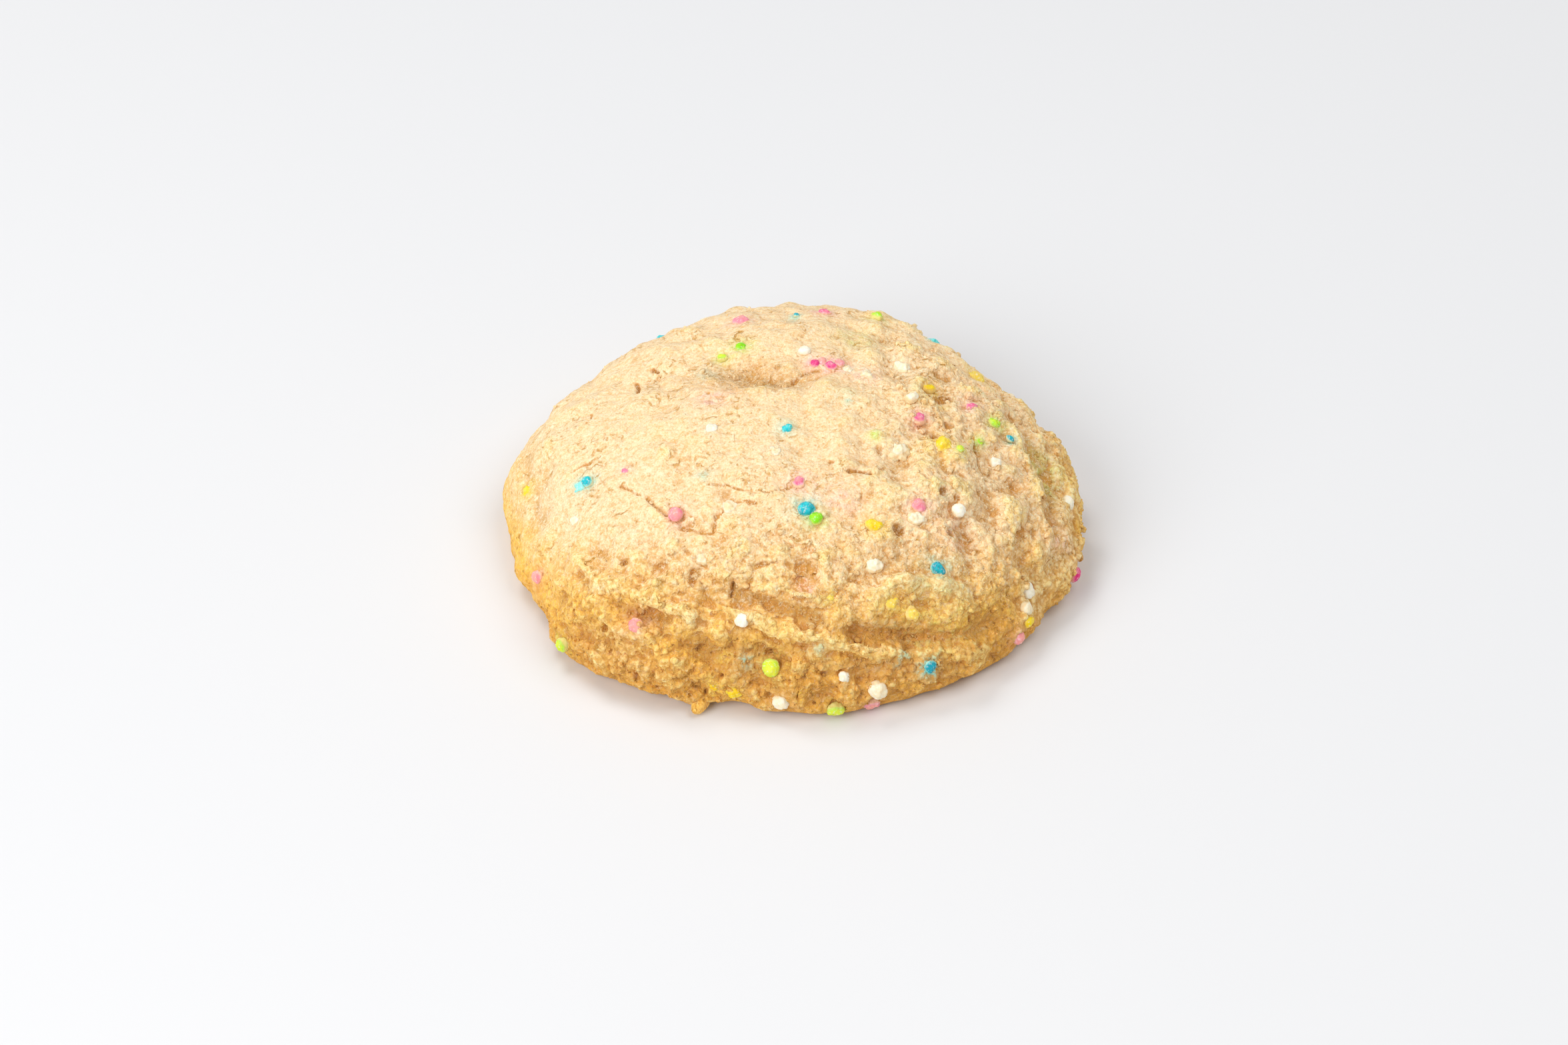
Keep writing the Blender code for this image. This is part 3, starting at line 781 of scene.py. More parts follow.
class Graph:
    """A node tree, and the ways in which it gets nodes."""

    def __init__(self, tree):
        self.tree = tree

    def add(self, kind, settings=None, values=None, out=None):
        """A node of a kind with its settings, then its values or links; gives one output."""
        node = self.tree.nodes.new(kind)
        for name, value in (settings or {}).items():
            if name == "stops":
                self.set_stops(node.color_ramp, value)
            else:
                setattr(node, name, value)
        for name, value in (values or {}).items():
            target = pick(node.inputs, name)
            if isinstance(value, Wire):
                self.tree.links.new(value.socket, target)
            else:
                target.default_value = value
        return Wire(self, pick(node.outputs, out)) if node.outputs else node

    def set_stops(self, ramp, stops):
        """The places and colours of a colour ramp."""
        while len(ramp.elements) < len(stops):
            ramp.elements.new(1)
        for element, (place, colour) in zip(ramp.elements, stops):
            element.position = place
            element.color = colour

    def maths(self, operation, *values):
        return self.add("ShaderNodeMath", {"operation": operation}, dict(enumerate(values)))

    def vectors(self, operation, *values):
        return self.add("ShaderNodeVectorMath", {"operation": operation}, dict(enumerate(values)))

    def noise(self, place, size, detail=2.0):
        """Cloudy noise of a size, from none to one."""
        values = {"Vector": place, "Scale": 1 / size, "Detail": detail}
        return self.add("ShaderNodeTexNoise", None, values)

    def cells(self, place, size, feature="F1"):
        """Distance from the middle of cells of a size, as a share of that size."""
        values = {"Vector": place, "Scale": 1 / size}
        return self.add("ShaderNodeTexVoronoi", {"feature": feature}, values)

    def chance(self, cells):
        """A value for each cell, drawn from none to one."""
        return self.add("ShaderNodeSeparateXYZ", None, {0: cells.other("Color")})

    def pits(self, place, size, edge, kept):
        """Round pits in some of the cells of a size, from none to one."""
        cells = self.cells(place, size)
        return cells.step(*edge) * self.chance(cells).step(*kept)

    def mix(self, share, first, second):
        """The second colour over the first, as far as the share says."""
        settings = {"data_type": "RGBA", "clamp_factor": True}
        return self.add("ShaderNodeMix", settings, {"Factor": share, "A": first, "B": second})

    def layered(self, colour, layers):
        """A colour with others laid over it in turn, each as far as its share says."""
        for share, over in layers:
            colour = self.mix(share, colour, over)
        return colour

    def push(self, place, size, amount):
        """Moves to all sides, cloudy at a size."""
        cloud = self.vectors("SUBTRACT", self.noise(place, size).other("Color"), (0.5, 0.5, 0.5))
        return self.vectors("SCALE", cloud, amount)

    def moved(self, place, size, amount):
        """A place pushed about, so that a pattern on it loses its evenness."""
        return self.vectors("ADD", place, self.push(place, size, amount))

    def drawn(self, kind, low, high, seed):
        """A number or vector for each point, drawn between two ends."""
        ends = {"Min": low, "Max": high, "Seed": seed}
        return self.add("FunctionNodeRandomValue", {"data_type": kind}, ends)

    def number(self, name, kind="FLOAT"):
        """A named value of the mesh, in a geometry tree."""
        return self.add("GeometryNodeInputNamedAttribute", {"data_type": kind}, {"Name": name})

    def store(self, mesh, name, value):
        """The mesh with a named number stored on its points."""
        values = {"Geometry": mesh, "Name": name, "Value": value}
        return self.add("GeometryNodeStoreNamedAttribute", {"data_type": "FLOAT"}, values)

    def painted(self, name, out="Fac"):
        """A named value of the mesh, in a material."""
        return self.add("ShaderNodeAttribute", {"attribute_name": name}, None, out)


def new_tree(name, sizes):
    """A geometry tree that takes a mesh, named sizes, a seed and a finish."""
    tree = bpy.data.node_groups.new(name, "GeometryNodeTree")
    kinds = {"Mesh": "Geometry", **dict.fromkeys(sizes, "Float")}
    kinds.update({"Seed": "Int", "Finish": "Material"})
    for title, kind in kinds.items():
        tree.interface.new_socket(title, in_out="INPUT", socket_type="NodeSocket" + kind)
    tree.interface.new_socket("Result", in_out="OUTPUT", socket_type="NodeSocketGeometry")
    graph = Graph(tree)
    given = graph.add("NodeGroupInput")
    return graph, {title: given.other(title) for title in kinds}


def end_tree(graph, mesh, finish):
    """The end of a geometry tree: instances made real, then the finish."""
    real = graph.add("GeometryNodeRealizeInstances", None, {"Geometry": mesh})
    coated = graph.add("GeometryNodeSetMaterial", None, {"Geometry": real, "Material": finish})
    graph.add("NodeGroupOutput", None, {"Result": coated})


def grow(item, tree, values):
    """Run a geometry tree on an object, and keep what it makes as a plain mesh."""
    modifier = item.modifiers.new(tree.name, "NODES")
    modifier.node_group = tree
    for socket in tree.interface.items_tree:
        if socket.name in values:
            modifier[socket.identifier] = values[socket.name]
    evaluated = item.evaluated_get(bpy.context.evaluated_depsgraph_get())
    mesh = bpy.data.meshes.new_from_object(evaluated)
    item.modifiers.remove(modifier)
    item.data = mesh
    mesh.shade_smooth()


# How far each seed moves a piece through the noise, in millimetres
SEED_STEP = (97.0, 61.0, 43.0)


def millimetres(graph, seed=0):
    """The place of each point in millimetres, moved elsewhere in the noise for each seed."""
    scaled = graph.vectors("SCALE", graph.add("GeometryNodeInputPosition"), 1 / MM)
    return graph.vectors("ADD", scaled, graph.vectors("SCALE", SEED_STEP, seed))


def levels(graph):
    """The level of each point in metres."""
    place = graph.add("GeometryNodeInputPosition")
    return graph.add("ShaderNodeSeparateXYZ", None, {0: place}, "Z")


def pushed(graph, mesh, height):
    """The mesh with its points moved out along its skin by a height in millimetres."""
    offset = graph.vectors("SCALE", graph.add("GeometryNodeInputNormal"), height * MM)
    return graph.add("GeometryNodeSetPosition", None, {"Geometry": mesh, "Offset": offset})


# How steeply a grain falls away from its middle, the share of the height that the lowest one
# has, and their average height, which is taken off so that grains don't swell the piece
DOME_FALL = 2.8
LOWEST_DOME = 0.3
DOME_MEAN = 0.5


def domes(graph, given, kind, place, feature="F1"):
    """Rounded grains of a kind, each of its own height, with seams between them."""
    cell = graph.cells(place, given[kind + " Size"], feature)
    own_height = LOWEST_DOME + graph.chance(cell)
    return ((1 - cell * cell * DOME_FALL) * own_height - DOME_MEAN) * given[kind + " Height"]


# Levels in cloudy noise at which one flake of dough ends on the next, half the breadth of the
# edge there, how far the flakes slope, and their average height
FLAKE_LEVELS = (0.41, 0.47, 0.53, 0.59)
FLAKE_EDGE = 0.012
FLAKE_SLOPE = 1.5
FLAKE_MEAN = 1.25


def flakes(graph, given, place):
    """Ragged flakes that lie one on another, with short steep edges."""
    field = graph.noise(place, given["Flake Size"], 4.0)
    steps = sum(field.step(end - FLAKE_EDGE, end + FLAKE_EDGE) for end in FLAKE_LEVELS)
    slope = field * FLAKE_SLOPE
    return (steps / len(FLAKE_LEVELS) + slope - FLAKE_MEAN) * given["Flake Height"]


# How the crumb's patterns lose their evenness: over what length they are pushed, and how far
LOOSE_CLUMPS = (2.6, 1.6)
LOOSE_GRANULES = (0.7, 0.45)
LOOSE_GRIT = (0.6, 0.3)
LOOSE_FLAKES = (1.4, 0.8)
LOOSE_HOLES = (1.1, 1.3)
LOOSE_SEAMS = (1.5, 2.0)

# Where the rim and the bottom of a hole or pore lie, as shares of its cell, and the draws, from
# none to one, between which a cell comes to have one
HOLES = ((0.2, 0.06), (0.5, 0.7))
UNDERSIDE_PORES = ((0.45, 0.15), (0.3, 0.5))
SKIN_PORES = ((0.26, 0.12), (0.55, 0.6))

# Levels above the sheet between which the crumb sets in, in metres
CRUMB_LEVELS = (0.2 * MM, 2.4 * MM)

# Rounds of smoothing against which a point of the crumb, or of a whole fold, is high or low; the
# dough's material paints the high points paler, as painted highlight, and the low points darker,
# as painted shade
SMOOTHING = {"cavity": 5, "hollow": 70}


def crumb_tree():
    """The fine crumb of the dough: grains, holes and cracks, pushed along its skin."""
    graph, given = new_tree("crumb", [
        "Granule Size", "Granule Height", "Grit Size", "Grit Height", "Clump Size",
        "Clump Height", "Flake Size", "Flake Height", "Hole Spacing", "Hole Depth",
        "Crack Spacing", "Crack Depth", "Pore Spacing", "Pore Depth"])
    place = millimetres(graph, given["Seed"])
    cobble = graph.number("cobble")
    under = graph.number("under")
    loose = graph.moved(place, *LOOSE_CLUMPS)
    clumps = domes(graph, given, "Clump", loose, "SMOOTH_F1")
    loose = graph.moved(loose, *LOOSE_GRANULES)
    granules = domes(graph, given, "Granule", loose)
    grit = domes(graph, given, "Grit", graph.moved(place, *LOOSE_GRIT))
    flaky = flakes(graph, given, graph.moved(place, *LOOSE_FLAKES))
    broken = graph.noise(place, 5.0).step(0.45, 0.6) * cobble * cobble
    holes = graph.pits(graph.moved(place, *LOOSE_HOLES), given["Hole Spacing"], *HOLES)
    holes = holes * given["Hole Depth"] * broken
    loose_seams = graph.moved(place, *LOOSE_SEAMS)
    seam = graph.cells(loose_seams, given["Crack Spacing"], "DISTANCE_TO_EDGE")
    seams = seam.step(0.07, 0.0) * graph.noise(place, 4.0).step(0.5, 0.6) * given["Crack Depth"]
    seams = seams * cobble
    pores = graph.pits(loose, given["Pore Spacing"], *UNDERSIDE_PORES) * given["Pore Depth"]
    bake = graph.number("bake")
    rough = cobble * (clumps * (1.3 - bake) + granules * (0.4 + 0.9 * bake))
    smooth = 1 - 0.7 * graph.maths("ABSOLUTE", graph.number("fold")).step(0.1, 0.7)
    rough = (rough + cobble * cobble * flaky) * smooth + grit
    rough = rough - holes - seams - graph.number("break")
    fade = levels(graph).step(*CRUMB_LEVELS) * (1 - under)
    height = rough * fade - pores * under
    mesh = graph.store(given["Mesh"], "rise", height)
    total = graph.number("rise") + graph.number("relief")
    for name, rounds in SMOOTHING.items():
        values = {"Value": total, "Iterations": rounds}
        even = graph.add("GeometryNodeBlurAttribute", {"data_type": "FLOAT"}, values)
        mesh = graph.store(mesh, name, total - even)
    end_tree(graph, pushed(graph, mesh, graph.number("rise")), given["Finish"])
    return graph.tree


def new_finish(name):
    """An empty material, its graph, and the place on the piece in millimetres."""
    material = bpy.data.materials.new(name)
    material.use_nodes = True
    material.node_tree.nodes.clear()
    graph = Graph(material.node_tree)
    place = graph.add("ShaderNodeTexCoord", None, None, "Object")
    return material, graph, graph.vectors("SCALE", place, 1 / MM)


def coat(graph, colour, roughness, height, depth, constants):
    """The surface at the end of a material, with a bump of a depth in millimetres."""
    bump = graph.add("ShaderNodeBump", None, {"Height": height, "Distance": depth * MM})
    values = {"Base Color": colour, "Roughness": roughness, "Normal": bump, **constants}
    surface = graph.add("ShaderNodeBsdfPrincipled", None, values)
    graph.add("ShaderNodeOutputMaterial", None, {"Surface": surface})


def dough_finish(name, glow):
    """Baked dough: pale where it is smooth, golden on the skirt, with painted shade in pits,
    cracks and folds and painted highlight on crests.

    The glow is how much of the light scatters beneath the skin.
    """
    material, graph, place = new_finish(name)
    cavity = graph.painted("cavity")
    hollow = graph.painted("hollow")
    fold = graph.painted("fold")
    clouds = graph.noise(place, 8.0, 3.0)
    patches = graph.noise(graph.moved(place, 3.0, 2.0), 2.6, 3.0)
    golden = graph.painted("bake") + (clouds - 0.5) * 0.6 + (patches - 0.5) * 0.5
    pale = 1 - golden.step(0.1, 0.8) * 0.7
    # Painted highlight where the skin is raised by a roll, painted shade where it is sunk in a
    # fold
    highlit_crest = (fold * 0.5 + hollow).step(0.1, 0.8) * patches.step(0.25, 0.5)
    shaded_recess = (fold * -0.5 - hollow).step(0.1, 0.9)
    # Browning, painted shade and painted highlight from the table of browner and paler places
    shade = graph.painted("shade") * (0.5 + patches)
    dyed = graph.painted("dye", "Alpha") * (0.55 + graph.noise(place, 0.7))
    grain = graph.noise(graph.moved(place, 0.9, 0.5), 0.6, 3.0)
    granule = graph.cells(graph.moved(place, 0.8, 0.5), 0.8)
    coarse = 0.4 + 0.6 * graph.painted("cobble").step(SMOOTH_SHARE, 1.0)
    # Painted shade in the seams between granules and in the low points of the grain
    shaded_gaps = granule.step(0.42, 0.62) * coarse * (0.2 + 0.5 * golden)
    shaded_valley = grain.step(0.5, 0.34) * (0.35 + 0.5 * golden)
    sand = graph.noise(place, 0.24, 2.0)
    cracks = 0
    grouped = graph.noise(place, 5.5, 2.0).step(0.42, 0.58)
    for size, width in ((1.9, 0.06), (4.5, 0.025)):
        line = graph.noise(graph.moved(place, 1.0, 0.8), size, 4.0) - 0.5
        here = graph.noise(graph.moved(place, 2.0, size), size, 3.0).step(0.5, 0.6) * grouped
        cracks = graph.maths("ABSOLUTE", line).step(width, width / 4) * here + cracks
    pores = graph.pits(graph.moved(place, 0.5, 0.4), 0.95, *SKIN_PORES) * (0.25 + golden)
    browned = graph.noise(place, 1.4, 3.0).step(0.35, 0.65)
    base = graph.mix(browned, srgb(222, 165, 95), srgb(190, 126, 62))
    colour = graph.layered(srgb(253, 221, 176), (
        # Golden crust, and the deeper gold near the foot
        (golden.step(0.0, 0.75), srgb(255, 200, 86)),
        (golden.step(0.6, 1.1) * 0.7, srgb(222, 148, 34)),
        # Painted highlight on the crests of the rolls, and painted shade in the folds between them
        (highlit_crest * 0.75, srgb(255, 226, 140)),
        (shaded_recess * 0.75, srgb(184, 138, 76)),
        # Places that baked browner or stayed paler, with painted shade in hollows, folds and pits
        # and painted highlight on crests and the rim
        (shade.step(0.0, 1.7) * 0.8, srgb(200, 148, 84)),
        (shade.step(0.0, -1.0) * 0.7, srgb(255, 232, 172)),
        # Dye from the nonpareils
        (dyed, graph.painted("dye", "Color")),
        # Painted highlight on the high points of the crumb and painted shade in its low points,
        # then painted shade in cracks, pits and gaps
        (cavity.step(0.02, 0.2) * pale * 0.4, srgb(255, 238, 186)),
        (cavity.step(-0.03, -0.2) * 0.75, srgb(206, 138, 58)),
        # Painted shade: the deeper a crack, pit or gap, the darker its colour
        (graph.painted("break").step(0.15, 0.65) * 0.7, srgb(160, 98, 36)),
        # Painted shade in the seams between granules and in the low points of the finer grain, and
        # painted highlight on its high points
        (shaded_gaps, srgb(218, 156, 66)),
        (shaded_valley, srgb(222, 164, 76)),
        (grain.step(0.54, 0.68) * pale * 0.5, srgb(255, 242, 208)),
        # Sugar and flour as fine as sand
        (sand.step(0.5, 0.7) * pale * 0.5, srgb(255, 244, 206)),
        (sand.step(0.5, 0.3) * 0.4, srgb(220, 166, 92)),
        # Painted shade in hair cracks and pores
        (cracks * 0.75, srgb(208, 150, 64)),
        (pores * 0.5, srgb(160, 98, 34)),
        # The underside, browned by the sheet
        (graph.painted("under"), base),
    ))
    roughness = 0.9 - sand.step(0.6, 0.7) * 0.35
    height = (grain * 1.2 - granule * granule * 2) * coarse + sand * 0.4
    height = height - cracks * 0.7 - pores * 0.6
    coat(graph, colour, roughness, height, 0.16, {
        "Subsurface Weight": glow, "Subsurface Radius": (1.0, 0.75, 0.5),
        "Subsurface Scale": 0.7 * MM, "Specular IOR Level": 0.35})
    return material


def new_piece(name, points, faces=()):
    """A mesh object from points in millimetres."""
    mesh = bpy.data.meshes.new(name)
    mesh.from_pydata((np.asarray(points) * MM).tolist(), [], faces)
    item = bpy.data.objects.new(name, mesh)
    bpy.context.scene.collection.objects.link(item)
    return item


def set_values(item, name, values):
    """A named number, vector or colour for each point of a mesh."""
    kinds = {1: ("FLOAT", "value"), 3: ("FLOAT_VECTOR", "vector"), 4: ("FLOAT_COLOR", "color")}
    kind, field = kinds[1 if np.ndim(values) == 1 else np.shape(values)[1]]
    layer = item.data.attributes.new(name, kind, "POINT")
    layer.data.foreach_set(field, np.asarray(values, np.float32).ravel())


dough_points, skin_u, skin_v, dough_faces = dough_mesh()

# The dome's middle isn't the middle of the cookie's outline, so the underside's edge is laid
# on the solid's: the points below this level lie on the sheet
SHEET_LEVEL = 0.02
solid_points = np.array([point.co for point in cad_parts["cookie"].data.vertices]) / MM
solid_edge = solid_points[solid_points[:, 2] < SHEET_LEVEL]
own_edge = dough_points[dough_points[:, 2] < SHEET_LEVEL]
MIDDLE = (solid_edge.min(0) + solid_edge.max(0) - own_edge.min(0) - own_edge.max(0)) / 2
MIDDLE[2] = 0

dough = new_piece("dough", dough_points + MIDDLE, dough_faces)
smooth_points = smooth_dome(*polar(skin_u, skin_v))
bare = len(dough_points) - len(skin_u)
skin_values = {
    "relief": relief(skin_u, skin_v),
    "cobble": coarseness(skin_u, skin_v),
    "fold": folding(skin_u, skin_v, smooth_points),
    "break": breaks(skin_u, skin_v, smooth_points),
    "bake": baking(skin_u, skin_v, smooth_points),
    "shade": shading(skin_u, skin_v),
}
for name, values in skin_values.items():
    set_values(dough, name, np.concatenate([values, np.full(bare, values[-1])]))
set_values(dough, "under", np.concatenate([np.zeros(len(skin_u)), np.ones(bare)]))
dye = dyeing(skin_u, skin_v, smooth_points)
set_values(dough, "dye", np.concatenate([dye, np.zeros((bare, 4))]))

baked_dough = dough_finish("baked_dough", 0.3)
grow(dough, crumb_tree(), {
    "Granule Size": 1.1, "Granule Height": 0.22, "Grit Size": 0.66, "Grit Height": 0.03,
    "Clump Size": 3.4, "Clump Height": 0.65, "Flake Size": 3.8, "Flake Height": 0.5,
    "Hole Spacing": 2.1, "Hole Depth": 0.4, "Crack Spacing": 3.4, "Crack Depth": 0.2,
    "Pore Spacing": 1.3, "Pore Depth": 0.22, "Seed": 3, "Finish": baked_dough})
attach(dough, "root")
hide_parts("cookie")


# The crumbs on the skin
# Grains of butter and flour that never smoothed out stand half out of the skin, finely all
# over it and coarser towards the front and the right.

# Levels above the sheet between which the grains set in, in metres, and the least and the most
# that a grain keeps of its radius along each of its sides
GRAIN_LEVELS = (1.1 * MM, 2.6 * MM)
GRAIN_SQUASH = ((0.6, 0.6, 0.6), (1.0, 1.0, 1.0))

# The size of the clusters that they lie in and of the dents in them, and how far they count as
# high points of the crumb, which paints them paler as a painted highlight
CLUSTER_SIZE = 2.5
DENT_SIZE = 0.45
GRAIN_CAVITY = 0.1


def ball(graph, fineness):
    """A ball with a radius of one."""
    return graph.add("GeometryNodeMeshIcoSphere", None, {"Radius": 1.0, "Subdivisions": fineness})


def copies(graph, points, item, turn, scale):
    """A copy of an item at each point, made real, with its own turn and scale."""
    turn = graph.add("FunctionNodeEulerToRotation", None, {0: turn})
    values = {"Points": points, "Instance": item, "Rotation": turn, "Scale": scale}
    placed = graph.add("GeometryNodeInstanceOnPoints", None, values)
    return graph.add("GeometryNodeRealizeInstances", None, {"Geometry": placed})


def grain_tree(name, fineness):
    """Grains scattered over the skin, half sunk in it."""
    graph, given = new_tree(name, [
        "Grains In A Square Millimetre", "Smallest Radius", "Largest Radius", "Smooth Share",
        "Unevenness"])
    seed = given["Seed"]
    smooth = given["Smooth Share"]
    cobble = smooth + (1 - smooth) * graph.number("cobble").step(SMOOTH_SHARE, 1)
    clustered = graph.noise(millimetres(graph, seed), CLUSTER_SIZE).step(0.3, 0.62)
    height = levels(graph).step(*GRAIN_LEVELS)
    share = cobble * clustered * height * (1 - graph.number("under"))
    density = share * given["Grains In A Square Millimetre"] / (MM * MM)
    values = {"Mesh": given["Mesh"], "Density": density, "Seed": seed}
    points = graph.add("GeometryNodeDistributePointsOnFaces", None, values)
    turn = graph.drawn("FLOAT_VECTOR", (0.0, 0.0, 0.0), (math.tau, math.tau, math.tau), seed)
    radius = graph.drawn("FLOAT", given["Smallest Radius"], given["Largest Radius"], seed)
    squash = graph.drawn("FLOAT_VECTOR", *GRAIN_SQUASH, seed)
    scale = graph.vectors("SCALE", squash, radius * MM)
    grains = copies(graph, points, ball(graph, fineness), turn, scale)
    push = graph.push(millimetres(graph), DENT_SIZE, given["Unevenness"] * MM)
    grains = graph.add("GeometryNodeSetPosition", None, {"Geometry": grains, "Offset": push})
    grains = graph.store(grains, "cavity", GRAIN_CAVITY)
    end_tree(graph, grains, given["Finish"])
    return graph.tree


def scatter(name, tree, values):
    """A piece of grains over the dough."""
    piece = bpy.data.objects.new(name, dough.data.copy())
    bpy.context.scene.collection.objects.link(piece)
    grow(piece, tree, values)
    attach(piece, "root")
    return piece


baked_crumb = dough_finish("baked_crumb", 0.0)
scatter("fine_crumbs", grain_tree("fine crumbs", 1), {
    "Grains In A Square Millimetre": 0.8, "Smallest Radius": 0.14, "Largest Radius": 0.28,
    "Smooth Share": 0.1, "Unevenness": 0.3, "Seed": 5, "Finish": baked_crumb})
scatter("coarse_crumbs", grain_tree("coarse crumbs", 2), {
    "Grains In A Square Millimetre": 0.08, "Smallest Radius": 0.4, "Largest Radius": 0.75,
    "Smooth Share": 0.05, "Unevenness": 0.6, "Seed": 11, "Finish": baked_crumb})


# The nonpareils
# Tiny round candies of sugar and starch with a dyed coat, stirred into the dough. Those in
# its skin have half melted: their dye has run, and dough has crept up round them.

# How far the balls stand out, as a share of what their row says, between which shares they
# are flattened and drawn out, and how finely they are made
BEAD_SHARE = 0.85
BEAD_SQUASH = (0.8, 0.95)
BEAD_STRETCH = (1.0, 1.25)
BEAD_FINENESS = 4

# The pale and the deep end of each colour, and what lies between
BEAD_TONES = {
    "white": (srgb(250, 224, 178), srgb(255, 238, 206), srgb(255, 248, 230)),
    "pink": (srgb(255, 170, 156), srgb(250, 138, 164), srgb(230, 40, 130)),
    "turquoise": (srgb(150, 236, 226), srgb(16, 206, 214), srgb(0, 156, 176)),
    "green": (srgb(230, 236, 64), srgb(190, 232, 40), srgb(138, 226, 8)),
    "yellow": (srgb(255, 214, 96), srgb(255, 218, 10), srgb(246, 194, 0)),
}


def bead_tree():
    """Balls at the points of a mesh, each with its own size, turn and tone, half melted."""
    graph, given = new_tree("nonpareils", [
        "Melt Size", "Melt Depth", "Sugar Size", "Sugar Height"])
    one = graph.store(ball(graph, BEAD_FINENESS), "top", levels(graph))
    turn = graph.number("turn", "FLOAT_VECTOR")
    scale = graph.vectors("SCALE", graph.number("halves", "FLOAT_VECTOR"), MM)
    balls = copies(graph, given["Mesh"], one, turn, scale)
    place = millimetres(graph, given["Seed"])
    melted = 0.4 + 2 * graph.maths("MAXIMUM", graph.number("sunk"), 0)
    melt = (graph.noise(place, given["Melt Size"]) - 0.5) * given["Melt Depth"] * melted
    sugar = domes(graph, given, "Sugar", graph.moved(place, 0.5, 0.2))
    end_tree(graph, pushed(graph, balls, melt + sugar), given["Finish"])
    return graph.tree


def bead_finish(colour):
    """Dyed sugar, mottled where it has melted, with a painted highlight on its cap and painted
    shade on its sides, and dulled by dough where it meets the skin.
    """
    material, graph, place = new_finish(colour + "_nonpareil")
    tone = graph.painted("tone") + (graph.noise(place, 0.6, 3.0) - 0.5) * 1.4
    # Painted highlight and painted shade: each ball's outward cap is paler and its sides deeper
    tone = tone + (0.7 - graph.painted("top")) * 0.45
    stops = tuple(zip((0.0, 0.5, 1.0), BEAD_TONES[colour]))
    base = graph.add("ShaderNodeValToRGB", {"stops": stops}, {"Fac": tone})
    sugar = graph.noise(place, 0.3, 2.0)
    size = graph.painted("size")
    sunk = graph.painted("sunk")
    clear = (graph.painted("top") * size - sunk) / (size - sunk)
    clear = clear + (graph.noise(place, 0.6, 3.0) - 0.5) * 0.9
    base = graph.layered(base, (
        (sugar.step(0.52, 0.7) * 0.4, srgb(255, 250, 240)),
        (clear.step(0.55, 0.0) * 0.8, DYES[colour][0]),
        (clear.step(0.1, -0.3) * 0.6, srgb(250, 212, 150)),
    ))
    roughness = 0.42 + sugar.step(0.4, 0.6) * 0.3
    coat(graph, base, roughness, graph.noise(place, 0.25, 2.0), 0.05, {
        "Subsurface Weight": 0.5, "Subsurface Radius": (1.0, 0.8, 0.7),
        "Subsurface Scale": 0.7 * MM, "Specular IOR Level": 0.4})
    return material


def sprinkle(colour, tree):
    """The nonpareils of one colour, as one piece."""
    beads = [bead[1:] for bead in all_beads() if bead[0] == colour]
    u, v, size, tone, shows = (np.array(column) for column in zip(*beads))
    radius = BEAD_RADIUS * size
    shows = shows * BEAD_SHARE
    places = skin_points(u, v, shows - radius)
    places[:, 2] = np.maximum(places[:, 2], radius * BEAD_STRETCH[1])
    facing = outward(*polar(u, v))
    draw = random.Random(colour)
    halves = []
    turns = []
    for number, half in enumerate(radius):
        spread = (draw.uniform(*BEAD_STRETCH), 1.0, draw.uniform(*BEAD_SQUASH))
        halves.append([half * share for share in spread])
        spin = Matrix.Rotation(draw.uniform(0, math.tau), 3, "Z")
        upright = Vector(facing[number]).to_track_quat("Z", "Y").to_matrix()
        turns.append(list((upright @ spin).to_euler()))
    piece = new_piece("nonpareils_" + colour, places + MIDDLE)
    set_values(piece, "halves", halves)
    set_values(piece, "turn", turns)
    set_values(piece, "tone", tone)
    set_values(piece, "size", radius)
    set_values(piece, "sunk", radius - shows)
    grow(piece, tree, {
        "Melt Size": 0.8, "Melt Depth": 0.7, "Sugar Size": 0.4, "Sugar Height": 0.04,
        "Seed": 2, "Finish": bead_finish(colour)})
    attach(piece, "root")


nonpareils = bead_tree()
for colour in BEADS:
    sprinkle(colour, nonpareils)


# The drip
# A drop of dough that ran out under the rim and baked hard and golden where it lies.

# Where its middle lies, half its length, width and height, and how golden it has baked
DRIP_BEARING = 250.7
DRIP_DISTANCE = 34.2
DRIP_LEVEL = 1.0
DRIP_HALVES = (2.4, 1.1, 0.95)
DRIP_BAKE = 0.7
drip_place = around(np.array([DRIP_BEARING]), DRIP_DISTANCE, np.array([DRIP_LEVEL]))
drip = new_piece("drip", drip_place + MIDDLE)
set_values(drip, "halves", [DRIP_HALVES])
set_values(drip, "turn", [(0.0, 0.0, math.radians(DRIP_BEARING))])
grow(drip, nonpareils, {
    "Melt Size": 1.2, "Melt Depth": 0.3, "Sugar Size": 0.6, "Sugar Height": 0.05, "Seed": 4,
    "Finish": baked_dough})
set_values(drip, "bake", np.full(len(drip.data.vertices), DRIP_BAKE))
set_values(drip, "dye", np.zeros((len(drip.data.vertices), 4)))
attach(drip, "root")


# The floor, the light and the camera
# A plain pale floor, a hair below the cookie, under soft lamps at the back left and at both
# sides of the front, seen from above the front.

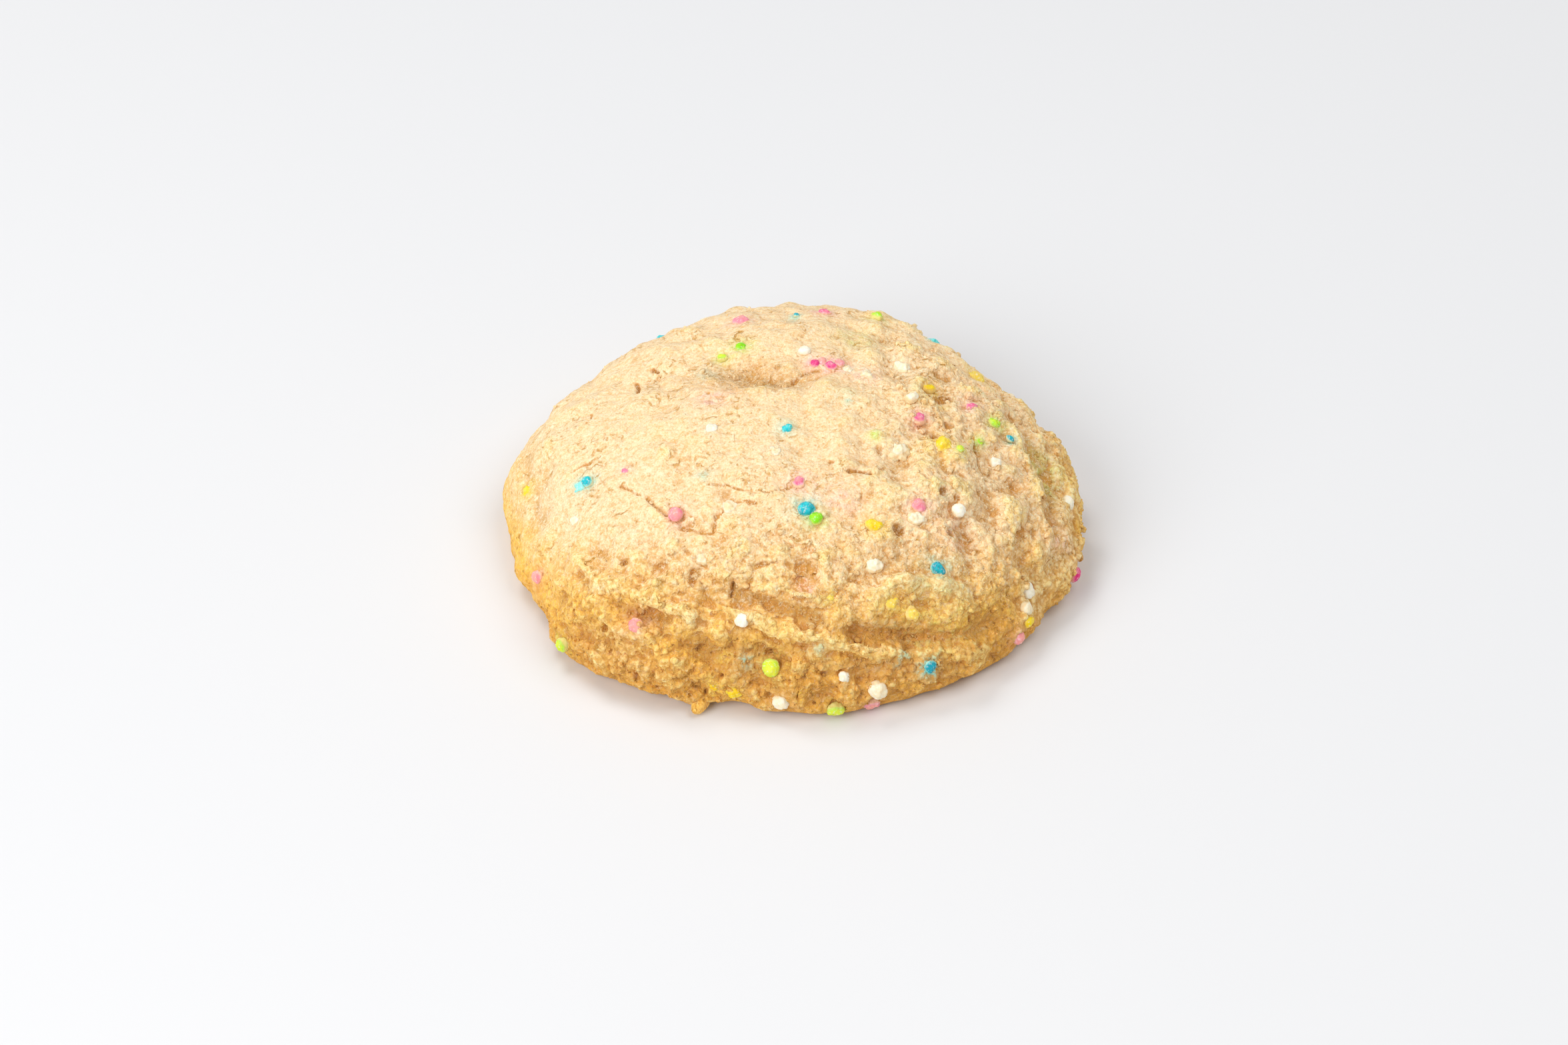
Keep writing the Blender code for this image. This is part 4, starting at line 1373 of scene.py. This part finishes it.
FLOOR_RADIUS = 3.0
FLOOR_LEVEL = -0.05
FLOOR_SIDES = 128
floor_turns = [math.tau * side / FLOOR_SIDES for side in range(FLOOR_SIDES)]
floor_edge = around(np.degrees(floor_turns), FLOOR_RADIUS / MM, np.full(FLOOR_SIDES, FLOOR_LEVEL))
floor = new_piece("floor", floor_edge, [tuple(range(FLOOR_SIDES))])
material, graph, place = new_finish("pale_floor")
tone = graph.mix(graph.noise(place, 400.0), srgb(227, 228, 230), srgb(231, 231, 232))
coat(graph, tone, 0.7, graph.noise(place, 1.0), 0.002, {"Specular IOR Level": 0.2})
floor.data.materials.append(material)

# How strongly the room lights it from all sides
WORLD_STRENGTH = 0.4
world = bpy.data.worlds.new("studio")
bpy.context.scene.world = world
world.use_nodes = True
surround = world.node_tree.nodes["Background"]
surround.inputs["Color"].default_value = (1, 1, 1, 1)
surround.inputs["Strength"].default_value = WORLD_STRENGTH

# Soft lamps: name, width, place and power
LAMPS = (
    ("softbox", 0.4, (-0.28, 0.28, 0.84), 2.3),
    ("left fill", 0.6, (-0.5, -0.48, 0.48), 4.1),
    ("right fill", 0.6, (0.38, -0.15, 0.8), 2.3),
)
for name, width, place, power in LAMPS:
    lamp_data = bpy.data.lights.new(name, "AREA")
    lamp_data.shape = "DISK"
    lamp_data.size = width
    lamp_data.energy = power
    lamp = bpy.data.objects.new(name, lamp_data)
    lamp.location = place
    lamp.rotation_euler = lamp.location.to_track_quat("Z", "Y").to_euler()
    bpy.context.scene.collection.objects.link(lamp)

# The camera: how far down it looks, its distance in metres, its lens in millimetres, and the
# place that it aims at, from the middle of the dome in millimetres
CAMERA_ELEVATION = math.radians(41)
CAMERA_DISTANCE = 0.473
CAMERA_LENS = 82.26
CAMERA_AIM = (-1.055, 2.658, 0.0)
camera = bpy.data.objects.new("camera", bpy.data.cameras.new("camera"))
camera.data.lens = CAMERA_LENS
back = Vector((0, -math.cos(CAMERA_ELEVATION), math.sin(CAMERA_ELEVATION)))
camera.location = Vector(MIDDLE + CAMERA_AIM) * MM + back * CAMERA_DISTANCE
camera.rotation_euler = (math.pi / 2 - CAMERA_ELEVATION, 0, 0)
bpy.context.scene.collection.objects.link(camera)
bpy.context.scene.camera = camera
bpy.context.scene.view_settings.view_transform = "Standard"
